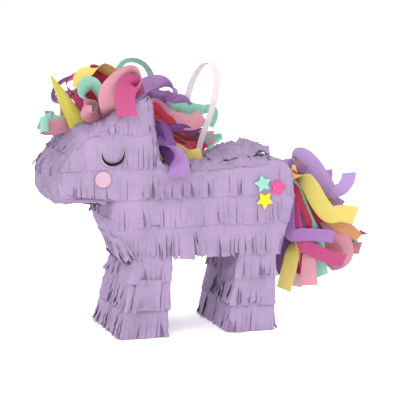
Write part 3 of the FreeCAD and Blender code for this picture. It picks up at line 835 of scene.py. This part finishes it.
def square(sheet, leg):
    """A square of tissue without cuts, stuck over the middle tier of the outer face."""
    u = np.linspace(-SQUARE_HALF, SQUARE_HALF, 20)[None, :]
    v = np.linspace(0.0, SQUARE_HEIGHT, 22)[:, None]
    u, v = u + 0.04 * v, v + 0.06 * u
    h = 2.1 + 0.25 * np.sin(u * 0.9) + 0.5 * smooth((v - 16.0) / 6.0) + 0.3 * np.sin(v * 0.7 + u * 0.3)
    sheet.grid(leg.place(SQUARE_TOP)(leg.face_middle - 2.0 + u, v, h), grid_of(u, v))


# ---------------------------------------------------------------- horn, flap, stickers

HORN_LENGTH = 47.0
HORN_TILT = math.radians(28.5)
HORN_TIP, HORN_SPREAD, HORN_OVERLAP = 0.4, 6.3, 0.3
HORN_FLATNESS = 0.75


def horn_cone():
    """A hollow cone of rolled paper: flattened a little, with an overlapping seam and soft dents."""
    points = node_points("horn")
    tip = points[np.argmax(points[:, 2])]
    axis = np.array((-math.sin(HORN_TILT), 0.0, math.cos(HORN_TILT)))
    side = np.array((math.cos(HORN_TILT), 0.0, math.sin(HORN_TILT)))
    share = np.linspace(0.0, 1.0, 40)[:, None]
    turn = np.linspace(-math.pi - 0.5, math.pi + 0.15, 46)[None, :]
    radius = HORN_TIP + HORN_SPREAD * (1.0 - share ** 1.7) + HORN_OVERLAP * (turn + math.pi) / math.tau
    centre = tip - axis * HORN_LENGTH + axis * HORN_LENGTH * share[..., None]
    spot = centre + radius[..., None] * (
        np.cos(turn + 0.9)[..., None] * side
        + HORN_FLATNESS * np.sin(turn + 0.9)[..., None] * np.array((0.0, 1.0, 0.0)))
    centre, spot = centre * MM, spot * MM
    dents = field(spot, 0.006, 4.0) * 0.35 * MM + field(spot, 0.0025, 5.0) * 0.12 * MM
    sheet = Sheet("horn_cone")
    sheet.grid(spot + unit(spot - centre) * dents[..., None], grid_of(turn * 5.0, share * HORN_LENGTH))
    finish_piece(sheet.make([HORN], HORN_THICKNESS, -1.0), "shell", "horn_paper", "horn")


def sticker(name, loop, side, offset, thickness, material, slot, *nodes):
    """A flat cut shape with a soft edge, from its outline in x and z."""
    mesh = bpy.data.meshes.new(name)
    y = side * (FLANK + offset)
    corners = list(range(len(loop)))
    if side < 0.0:
        corners.reverse()
    mesh.from_pydata([(x * MM, y * MM, z * MM) for x, z in loop], [], [corners])
    layer = mesh.uv_layers.new(name="UVMap")
    for corner in mesh.loops:
        layer.data[corner.index].uv = loop[corner.vertex_index]
    mesh.materials.append(material)
    piece = placed(name, mesh)
    thicken(piece, thickness * MM, 0.0)
    rim = piece.modifiers.new("rim", "BEVEL")
    rim.width, rim.segments = thickness * 0.3 * MM, 2
    finish_piece(piece, "shell", slot, *nodes)


def grown(loop, amount):
    """An outline moved outwards by an amount."""
    tangent = unit(np.roll(loop, -1, axis=0) - np.roll(loop, 1, axis=0))
    return loop + np.stack([-tangent[:, 1], tangent[:, 0]], axis=1) * amount


# How far each sticker's middle stands off the flank, and its thickness.
EYE_EDGE_CUT = (1.75, 0.25)
EYE_CUT = (1.95, 0.25)
CHEEK_CUT = (1.8, 0.3)
STAR_CUT = (1.9, 0.5)


def stickers():
    """The closed eyes with their white edge, the cheeks and the stars."""
    for word, side in SIDES:
        eye = resampled(face_outline(f"eye_{word}", side), 0.4)
        edge = grown(eye, 0.25) + np.array((-0.3, -0.25))
        sticker(f"eye_edge_{word}", edge, side, *EYE_EDGE_CUT, STICKER_WHITE, "eye_sticker")
        sticker(f"eye_lashes_{word}", grown(eye, 0.12), side, *EYE_CUT, STICKER_BLACK, "eye_sticker",
                f"eye_{word}")
        cheek = resampled(face_outline(f"cheek_{word}", side), 0.5)
        sticker(f"cheek_spot_{word}", cheek, side, *CHEEK_CUT, STICKER_PINK, "cheek_sticker",
                f"cheek_{word}")
    for colour, material in STARS.items():
        for word, side in SIDES:
            node = f"star_{colour}"
            loop = grown(resampled(face_outline(node, side), 0.5), 0.45)
            sticker(f"{node}_{word}", loop, side, *STAR_CUT, material, f"{node}_sticker",
                    *([node] if side < 0.0 else []))


def flap_tissue():
    """The crumpled tissue on the fill flap, standing in peaks over the opening, ragged at its edge."""
    low, high = box_mm("fill_flap")
    rise = math.atan2(high[2] - low[2] - 1.5, high[0] - low[0])
    length, half = high[0] - low[0] + 4.0, high[1] + 3.5
    dice = np.random.default_rng(29)
    p = np.linspace(-2.0, length, 21)[:, None]
    t = np.linspace(-1.0, 1.0, 25)[None, :]
    p, t = (line + dice.uniform(-0.3, 0.3, (21, 25)) * step for line, step in ((p, 2.0), (t, 0.08)))
    grain = grid_of(p, t * half, 0.0) * MM
    ragged = field(grain * np.array((1.0, 0.0, 0.0)), 0.006, 31.0) * 2.2
    end = 1.0 + field(grain * np.array((0.0, 1.0, 0.0)), 0.007, 33.0) * 0.05
    q = t * (half + ragged)
    along = p * end
    big, small = ridges(grain, 0.0095, 35.0), ridges(grain, 0.004, 37.0)
    hump = smooth(along / 30.0) * (1.0 - 0.2 * (q / half) ** 2)
    bend = smooth((along - length + 9.0) / 9.0)
    h = 1.7 + 0.8 * hump + (4.0 * big + 1.8 * small) * (0.35 + 0.65 * hump) - 3.0 * bend
    h = h + dice.uniform(-0.9, 0.9, h.shape)
    over_card = np.maximum(along * math.sin(rise + 0.065), 0.0)
    skirt = smooth((np.abs(q) - high[1] + 0.5) / 3.5)
    h = h - skirt * (1.0 + over_card * (1.0 - 0.75 * smooth((along - 22.0) / 12.0)))
    cos, sin = math.cos(rise), math.sin(rise)
    x = low[0] + along * cos - h * sin * 0.4
    z = low[2] + along * sin + h
    x = x + field(grain, 0.008, 39.0) * 1.2
    on_card = (x < high[0] + 2.4) & (np.abs(q) < high[1] + 1.8)
    z = np.where(on_card, np.maximum(z, low[2] + along * sin + 2.4), z)
    sheet = Sheet("flap_tissue")
    sheet.grid(grid_of(x, q, z) * MM, grid_of(q, p), facets=True)
    tissue_piece(sheet, "tissue_flap", CRUMPLED_TISSUE_SHADED, thickness=THICK_TISSUE, body="flap")


# ---------------------------------------------------------------- streamers

AZIMUTH, ELEVATION = math.radians(-17.6), math.radians(7.9)
# The direction from the object to the camera.
SIGHT = np.array((math.sin(AZIMUTH) * math.cos(ELEVATION), -math.cos(AZIMUTH) * math.cos(ELEVATION),
                  math.sin(ELEVATION)))
FAR_LANE = 41.0

# Each strip: front colour, back colour, width, its lanes across the body from root to tip, its turns
# in degrees (0 lies flat to the viewer, 90 stands edge on, 180 shows the back, None stays upright) and
# its route, drawn as (x, z) on the middle plane behind the poll or the dock.
STREAMERS = {
    "forelock": [
        ("lavender", "purple", 9, (8, 6), (10,), [(-45, -20), (-60, -18), (-73, -12)]),
        ("mint", "dusty", 11, (5, 1, -2, -6, -9, -8, -4, -3, -6), None,
         [(-46, -13), (-57, -15), (-66, -16), (-71, -15), (-69, -14), (-65, -14), (-66, -14), (-70, -14),
          (-69, -14)]),
        ("orange", "crimson", 11, (9, 11, 12, 9, 7), None,
         [(-42, -8), (-50, -7), (-57, -7), (-58, -6), (-56, -5)]),
        ("purple", "violet", 8, (12, 14), (76,),
         [(-48, -2), (-56, 1), (-63, 4), (-62, 12), (-55, 18), (-45, 20)]),
        ("magenta", "crimson", 9, (9, 7), (30, 50, 100, 110),
         [(-38, 20), (-46, 20), (-53, 16), (-51, 10), (-45, 9), (-38, 11)]),
    ],
    "crown": [
        # Near its root this strip turns its gold back to view: painted shade on the yellow paper.
        ("yellow", "gold", 10, (1, -5), (160, 155, 150, 120, 40, 10, 10),
         [(-15, 14), (-20, 21), (-27, 25), (-36, 23), (-42, 18), (-43, 10)]),
        ("crimson", "maroon", 8, (4,), (40,), [(-34, 23), (-26, 21), (-16, 15)]),
        ("crimson", "maroon", 12, (2,), (15,), [(-34, 11), (-26, 14), (-15, 14)]),
        ("mint", "dusty", 12, (-12, -17), (150, 140, 50, 35, 50, 75, 130, 140, 120),
         [(-34, -2), (-39, 5), (-38, 12), (-32, 12), (-28, 5), (-28, -3), (-32, -10), (-37, -8), (-36, -2)]),
        ("magenta", "crimson", 9, (2,), (20,), [(-45, 6), (-40, 1), (-35, -4)]),
        ("dusty", "rose", 12, (-22, -19), (10, 10, 40, 65, 60),
         [(-21, -5), (-22, 5), (-17, 13), (-9, 19), (-3, 20), (0, 14), (-3, 8)]),
        ("crimson", "maroon", 9, (-16,), (20,), [(-16, 1), (-9, 8), (-3, 15)]),
        ("hot_pink", "magenta", 14, (-24, -31, -39), (20, 10, 0), [(-5, 12), (-9, 2), (-7, -12)]),
        ("mint", "mint", 9, (2, 4), (60, 65, 75, 70, 55),
         [(-15, 12), (-16, 21), (-12, 28), (-5, 30), (3, 27), (8, 20), (8, 12)]),
        ("mint", "mint", 6, (0,), (40,), [(-6, 18), (-6, 13), (-10, 12), (-13, 14)]),
    ],
    "neck": [
        ("purple", "purple", 11, (-2, 4), (30, 20, 30, 130, 140),
         [(-3, 3), (3, 11), (12, 14), (20, 12), (25, 7), (20, 4), (8, 5)]),
        ("purple", "violet", 8, (6,), (40,), [(18, -6), (24, 1), (31, 2), (36, -3)]),
        ("mint", "mint", 9, (8, 5), (50, 20, 10), [(11, 2), (22, -5), (34, -5), (48, -7)]),
        ("mint", "mint", 7, (8,), (30,), [(45, -6), (54, -6), (55, -12), (52, -18)]),
        ("dusty", "rose", 12, (2, -2), (60, 30, 10, 0),
         [(11, -2), (20, -10), (30, -14), (40, -15), (47, -11)]),
        ("crimson", "maroon", 10, (1,), (10,), [(9, -4), (17, -12), (28, -18), (40, -22)]),
        ("violet", "purple", 6, (0,), (20,), [(30, -19), (38, -22), (44, -18)]),
        ("maroon", "rose", 12, (3,), (10,), [(11, -11), (20, -19), (32, -26), (44, -30)]),
        ("orange", "crimson", 8, (-5,), (74,), [(12, -14), (22, -23), (36, -32)]),
        ("crimson", "orange", 11, (-4,), (15,), [(10, -14), (20, -26), (31, -33), (42, -35)]),
        ("magenta", "crimson", 9, (-8,), (20,), [(14, -25), (26, -33), (38, -37)]),
        ("yellow", "gold", 8, (-10,), (30, 10), [(25, -34), (36, -39), (46, -38)]),
        ("violet", "purple", 9, (-12, -26), (30,), [(12, -20), (18, -34), (25, -44)]),
        ("purple", "violet", 14, (-10, -22, -33, -39, -39), (170, 160, 140, 30, 10, 0),
         [(14, -20), (21, -31), (28, -41), (30, -48), (29, -55)]),
        ("dusty", "mint", 9, (8,), (20, 0), [(35, -24), (46, -26), (56, -26)]),
        ("mint", "dusty", 5, (8,), (30,), [(57, -26), (54, -30), (50, -34)]),
        ("crimson", "maroon", 9, (6, 3), (10,), [(38, -26), (44, -32), (48, -35)]),
    ],
    "tail_upper": [
        ("purple_light", "purple", 11, (-3, -7), (160, 140, 30, 10, 10, 20, 30, 20, 10),
         [(2, 7), (7, 13), (14, 13), (22, 6), (30, -5), (36, -14), (44, -13), (49, -7), (50, -1)]),
        ("gold", "orange", 6, (-2,), (40,), [(4, 5), (10, 7), (15, 3)]),
        ("purple", "violet", 8, (-7,), (30,), [(2, 2), (8, 5), (16, 1)]),
        # Near its root this strip turns its gold back to view: painted shade on the yellow paper.
        ("yellow", "gold", 13, (-13, -16), (165, 150, 35, 10, 10, 20, 0),
         [(3, 1), (12, -2), (19, -10), (26, -22), (34, -31), (44, -31), (55, -33)]),
        ("maroon", "rose", 12, (-3,), (25, 10), [(6, -2), (15, -16), (25, -30), (34, -41)]),
        ("crimson", "maroon", 9, (-14,), (20, 5), [(5, -3), (8, -18), (13, -30), (18, -41)]),
        ("purple_light", "purple", 9, (6,), (20,), [(30, -13), (40, -22), (46, -26)]),
        ("yellow", "gold", 7, (3,), (20,), [(32, -16), (39, -21)]),
        ("mint", "mint", 6, (-15,), (60,), [(5, -5), (10, -12), (17, -28), (23, -40)]),
        ("maroon", "crimson", 13, (2, 6), (10,), [(8, -6), (18, -24), (28, -44)]),
    ],
    "tail_lower": [
        ("orange", "crimson", 10, (-8,), (20, 10, 0, 40, 130),
         [(26, -26), (38, -36), (49, -43), (58, -49), (63, -46)]),
        ("dusty", "rose", 12, (-4, -6), (20, 10, 10, 20, 60),
         [(27, -28), (38, -42), (46, -52), (48, -61), (44, -67), (35, -71)]),
        ("rose", "dusty", 9, (2,), (10,), [(42, -50), (52, -57), (61, -58)]),
        ("mint", "mint", 8, (4,), (10,), [(48, -46), (54, -52), (56, -58)]),
        ("violet", "purple", 12, (-9, -14), (40, 10), [(8, -20), (8, -31), (10, -42)]),
        ("purple", "violet", 9, (-17, -20), (20, 0, 10), [(3, -42), (14, -45), (26, -46), (37, -48)]),
        ("hot_pink", "magenta", 10, (-16, -18), (20, 0, 20), [(10, -48), (20, -56), (32, -62), (46, -66)]),
        ("rose", "dusty", 11, (-7,), (10,), [(24, -48), (34, -54), (42, -62)]),
        ("yellow", "gold", 11, (-12, -14), (150, 165, 15, 0), [(6, -30), (7, -48), (4, -66), (-1, -85)]),
        ("dusty", "rose", 12, (-12, -15), (20, 0), [(14, -45), (17, -62), (19, -83)]),
        ("pale_pink", "crimson", 7, (-9,), (10,), [(11, -50), (10, -68), (10, -84)]),
        ("crimson", "orange", 6, (-10,), (50,), [(12, -48), (11, -62), (10, -74)]),
        ("mint", "mint", 10, (-9,), (20, 0), [(20, -46), (26, -62), (29, -77)]),
        ("mint", "mint", 6, (-15,), (20,), [(22, -44), (26, -50), (28, -57)]),
        ("violet", "purple", 9, (-3,), (10,), [(6, -30), (0, -54), (-5, -74)]),
        ("crimson", "maroon", 11, (-6,), (10,), [(9, -14), (16, -25), (24, -38)]),
        ("violet", "purple", 9, (3,), (10,), [(33, -38), (36, -48), (41, -57)]),
        ("crimson", "maroon", 14, (2, 0), (10,), [(14, -34), (24, -46), (34, -54)]),
        ("purple", "violet", 12, (8,), (20,), [(10, -30), (20, -46), (30, -62)]),
    ],
}


def carried(x, y, z):
    """A place drawn on the middle plane, carried along the line of sight to its lane."""
    return x + y * SIGHT[0] / SIGHT[1], y, z + y * SIGHT[2] / SIGHT[1]


def spline(controls, steps=9):
    """A Catmull-Rom curve through the controls, any number of values each."""
    ends = np.vstack([2 * controls[0] - controls[1], controls, 2 * controls[-1] - controls[-2]])
    share = np.linspace(0.0, 1.0, steps, endpoint=False)[:, None]
    parts = []
    for index in range(len(controls) - 1):
        a, b, c, d = ends[index:index + 4]
        parts.append(0.5 * (2 * b + (c - a) * share + (2 * a - 5 * b + 4 * c - d) * share ** 2
                            + (3 * b - a - 3 * c + d) * share ** 3))
    parts.append(controls[-1:])
    return np.vstack(parts)


def spread(values, count):
    """Values evenly along a strip, read at count places."""
    return np.interp(np.linspace(0.0, 1.0, count), np.linspace(0.0, 1.0, len(values)), values)


def edges(line, turns):
    """The direction from edge to edge along a strip, from its turns away from the viewer."""
    if turns is None:
        return np.tile((0.0, 0.0, 1.0), (len(line), 1))
    tangent = unit(np.gradient(line, axis=0))
    angle = np.radians(spread(turns, len(line)))
    flat = unit(np.cross(SIGHT, tangent))
    wide = flat * np.cos(angle)[:, None] + SIGHT * np.sin(angle)[:, None]
    return unit(wide - tangent * np.sum(wide * tangent, axis=1)[:, None])


def strip(sheet, dice, anchor, line, wide, width, slot):
    """One paper strip along its middle line, with cut ends."""
    centre = (line + anchor) * MM
    tangent = unit(np.gradient(centre, axis=0))
    normal = unit(np.cross(tangent, wide))
    places = np.r_[0.0, np.cumsum(np.linalg.norm(np.diff(centre, axis=0), axis=1))] / MM
    q = np.linspace(-1.0, 1.0, 6)[None, :, None]
    half = width / 2.0 * MM
    seed = dice.uniform(0.0, 60.0)
    grain = grid_of(places / 14.0 + seed, 0.0, 0.0)
    sway = field(grain, 1.0, seed)[:, None, None] * 0.10
    cup = dice.uniform(-0.2, 0.2) * MM
    points = centre[:, None, :] + wide[:, None, :] * q * half * (1.0 + sway * 0.4)
    points = points + normal[:, None, :] * (cup * (q ** 2 - 0.4) + sway * q * half * 0.5)
    crease = field(points, 0.011, seed + 2.0)[..., None] * 0.22 * MM
    points = points + normal[:, None, :] * crease
    slant = dice.uniform(-0.12, 0.12) * half * 2.0
    reach = smooth((places - places[-1] + width) / width)[:, None, None]
    points = points + tangent[:, None, :] * q * slant * reach
    sheet.grid(points, grid_of(q[..., 0] * width / 2, places[:, None]), slot=slot, flip=True)


def streamer_piece(name, group, anchor, body, slot, node, root):
    """A bunch of two-coloured paper strips, and a second, smaller one on the far side."""
    sheet = Sheet(name)
    dice = rng(name)
    pairs = []
    strips = []
    for front, back, width, lanes, turns, route in STREAMERS[group]:
        points = [carried(x, float(y), z) for (x, z), y in zip(route, spread(lanes, len(route)))]
        line = spline(np.array([root(points[0])] + points))
        strips.append((front, back, width, line, edges(line, turns)))
    for front, back, width, line, wide in list(strips):
        size = dice.uniform(0.8, 0.92)
        x, y, z = line.T
        away = np.abs(y) * 1.1 + dice.uniform(3.0, 8.0) * np.minimum(1.0, (np.abs(x) + np.abs(z)) / 20.0)
        height = size * np.where(z < 0.0, z, z * 0.4)
        mirrored = np.stack([x * size - 0.15 * away, np.minimum(away, FAR_LANE), height], axis=1)
        strips.append((back, front, width, mirrored, wide * (1.0, -1.0, 1.0)))
    for front, back, width, line, wide in strips:
        pair = (front, back)
        if pair not in pairs:
            pairs.append(pair)
        strip(sheet, dice, anchor, line, wide, width, pairs.index(pair) * 2)
    materials = [PAPERS[colour] for pair in pairs for colour in pair]
    piece = sheet.make(materials, STRIP_THICKNESS, -1.0)
    piece.modifiers["thickness"].material_offset = 1
    finish_piece(piece, body, slot, node)


BINDING_HALF = 12.0


def binding(dock, height):
    """The gathered roll of tissue that holds the tail together, hidden behind the rump."""
    turn = np.linspace(0.0, math.tau, 36)[:, None]
    across = np.linspace(-1.0, 1.0, 26)[None, :]
    end = np.sqrt(np.clip(1.02 - across ** 4, 0.0, 1.0))
    points = grid_of(-0.6 + 2.4 * end * np.cos(turn), BINDING_HALF * across, height / 2 * end * np.sin(turn))
    points = (points + dock) * MM
    points[..., 0] += field(points * np.array((1.0, 1.0, 0.4)), 0.004, 51.0) * 0.6 * MM
    sheet = Sheet("dock_binding")
    sheet.grid(points, grid_of(BINDING_HALF * across, turn * 5.0))
    tissue_piece(sheet, "tail_binding", CRUMPLED_TISSUE_SHADED, thickness=THICK_TISSUE, body="tail")


def streamers():
    """The mane's three bunches on the head and the tail's two bunches on the dock."""
    low, high = box_mm("crown_band")
    poll = np.array((high[0], 0.0, high[2] - 0.8))
    low, high = box_mm("tail_binding")
    dock = np.array(((low[0] + high[0]) / 2, 0.0, (low[2] + high[2]) / 2))
    binding(dock, high[2] - low[2])

    def head_root(point):
        """Where a strip of the mane is glued: the nearest place on the head's top, near the middle."""
        spot = np.array((point[0] + poll[0], point[2] + poll[2]))
        near = OUTLINE[(OUTLINE[:, 1] > 118.0) & (OUTLINE[:, 0] < -44.0) & (OUTLINE[:, 0] > -95.0)]
        glued = near[np.argmin(np.linalg.norm(near - spot, axis=1))]
        across = float(np.clip(point[1], -20.0, 20.0)) * 0.7
        return glued[0] - poll[0], across, glued[1] - poll[2] - 0.5

    def tail_root(point):
        """Where a strip of the tail is glued: on the dock's rear face."""
        return 0.0, float(np.clip(point[1] * 0.6, -11.0, 11.0)), max(-6.0, min(5.0, point[2]))

    for group in ("forelock", "crown", "neck"):
        node = f"mane_{group}"
        streamer_piece(f"{node}_strips", group, poll, "shell", "mane_paper", node, head_root)
    for group in ("upper", "lower"):
        node = f"tail_streamers_{group}"
        streamer_piece(f"{node}_strips", f"tail_{group}", dock, "tail", "tail_paper", node, tail_root)


# ---------------------------------------------------------------- hanging ribbon

# The loop's route: distance out from the knot along RIBBON_TURN and height, in metres.
RIBBON_ROUTE = [
    (0.0009, 0.113), (0.0018, 0.125), (0.0065, 0.138), (0.0135, 0.151), (0.0185, 0.165),
    (0.022, 0.179), (0.0165, 0.190), (0.0075, 0.189), (-0.0015, 0.180), (-0.0075, 0.1685),
    (-0.0108, 0.155), (-0.009, 0.141), (-0.0035, 0.129), (-0.0009, 0.1195), (-0.0009, 0.113),
]
RIBBON_TURN = math.radians(-62.0)
RIBBON_WIDTH = 0.006
RIBBON_THICKNESS = 0.0004


def ribbon():
    """The loop of white ribbon that the pinata hangs by, up from the knot inside and back to it."""
    low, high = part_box("hanger_knot")
    middle = (low + high) / 2
    lead = Vector((math.cos(RIBBON_TURN), math.sin(RIBBON_TURN), 0.0))
    across = np.array((-math.sin(RIBBON_TURN), math.cos(RIBBON_TURN), 0.0))
    curve = bpy.data.curves.new("ribbon_route", "CURVE")
    curve.dimensions = "3D"
    line = curve.splines.new("NURBS")
    line.points.add(len(RIBBON_ROUTE) - 1)
    for point, (out, z) in zip(line.points, RIBBON_ROUTE):
        point.co = (middle.x + lead.x * out, middle.y + lead.y * out, z, 1.0)
    line.order_u = 3
    line.use_endpoint_u = True
    curve.resolution_u = 12
    holder = bpy.data.objects.new("ribbon_route", curve)
    route = bpy.data.meshes.new_from_object(holder)
    path = np.array([tuple(vertex.co) for vertex in route.vertices])
    bpy.data.objects.remove(holder)
    q = np.linspace(-1.0, 1.0, 5)[None, :, None]
    places = np.r_[0.0, np.cumsum(np.linalg.norm(np.diff(path, axis=0), axis=1))]
    points = path[:, None, :] + across * q * RIBBON_WIDTH / 2.0
    uv = grid_of(q[..., 0] * RIBBON_WIDTH / 2.0 / MM, places[:, None] / MM)
    sheet = Sheet("hanging_ribbon_loop")
    sheet.grid(points, uv)
    piece = sheet.make([RIBBON], RIBBON_THICKNESS)
    finish_piece(piece, "shell", "ribbon", "hanging_ribbon")


# ---------------------------------------------------------------- the carried-over card parts

def cad_finishes():
    """Procedural materials on the CAD nodes that stay in sight or just under the tissue."""
    finishes = {"belly_band": PLAIN_TISSUE_SHADED, "hanger_knot": RIBBON_KNOT}
    for name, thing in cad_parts.items():
        thing.data.materials.clear()
        thing.data.materials.append(finishes.get(name, CARD))


# ---------------------------------------------------------------- floor, light and camera

FLOOR_REACH = 6.0
# Each area light: where it stands from the object's centre, its size and its power.
LIGHTS = {
    "key": ((-0.75, -0.95, 0.95), 0.9, 9.5),
    "fill": ((1.0, -0.8, 0.6), 1.2, 3.0),
    "top": ((0.1, 0.3, 1.4), 1.2, 6.0),
}
LENS, SENSOR_WIDTH = 150.3, 36.0
CAMERA_DISTANCE = 1.2024
CAMERA_TARGET = (-0.0064, 0.0, -0.0062)


def floor():
    """A pale floor that runs on behind."""
    mesh = bpy.data.meshes.new("floor")
    corners = [(x * FLOOR_REACH, y * FLOOR_REACH, 0.0) for x, y in ((-1, -1), (1, -1), (1, 1), (-1, 1))]
    mesh.from_pydata(corners, [], [(0, 1, 2, 3)])
    thing = placed("floor", mesh)
    m = Nodes("floor_white")
    m.tint(m.noise(m.coordinates("Object"), 30.0), (1.0, 1.0, 1.0), (0.3, 0.93), (0.7, 0.96))
    m.set(Roughness=0.9, Specular_IOR_Level=0.1, Emission_Strength=0.3,
          Emission_Color=(1.0, 1.0, 1.0, 1.0))
    mesh.materials.append(m.material)


def aimed(name, data, location, back):
    """A light or camera at a place, looking against a direction."""
    thing = placed(name, data)
    thing.location = location
    thing.rotation_mode = "QUATERNION"
    thing.rotation_quaternion = (-back).to_track_quat("-Z", "Y")
    return thing


def room():
    """The floor, soft studio light and the camera."""
    world = bpy.data.worlds.new("studio")
    bpy.context.scene.world = world
    world.use_nodes = True
    background = world.node_tree.nodes["Background"].inputs
    background["Color"].default_value = (1.0, 1.0, 1.0, 1.0)
    background["Strength"].default_value = 1.0
    floor()

    low, high = CAD_BOX
    centre = (low + high) / 2
    for name, (place, size, power) in LIGHTS.items():
        light = bpy.data.lights.new(name, "AREA")
        light.size, light.energy = size, power
        aimed(name, light, centre + Vector(place), Vector(place))

    camera = bpy.data.cameras.new("camera")
    camera.lens, camera.sensor_width = LENS, SENSOR_WIDTH
    back = Vector(SIGHT)
    location = centre + Vector(CAMERA_TARGET) + back * CAMERA_DISTANCE
    bpy.context.scene.camera = aimed("camera", camera, location, back)
    bpy.context.scene.view_settings.view_transform = "Standard"


HORN = paper("horn_paper", srgb(214, 204, 84), gloss=0.5)
STICKER_WHITE = paper("sticker_white", srgb(240, 235, 240), gloss=0.5)
STICKER_BLACK = paper("sticker_black", srgb(12, 8, 14), gloss=0.75)
STICKER_PINK = paper("sticker_pink", srgb(224, 182, 201), gloss=0.6)
STAR_COLOURS = {"mint": srgb(160, 226, 214), "pink": srgb(240, 84, 156), "yellow": srgb(255, 236, 36)}
STARS = {name: paper("star_" + name, colour, gloss=0.4) for name, colour in STAR_COLOURS.items()}
RIBBON = sheer("ribbon_sheer", srgb(252, 240, 246))
RIBBON_KNOT = paper("ribbon_knot", srgb(244, 228, 234))
# The belly band in the tissue's lavender at 0.9: painted shade on the underside.
PLAIN_TISSUE_SHADED = card_board("tissue_plain_shaded", shade(LAVENDER, 0.9))

flank_rows()
front_tissue()
leg_fringes()
horn_cone()
stickers()
flap_tissue()
streamers()
ribbon()
cad_finishes()
room()
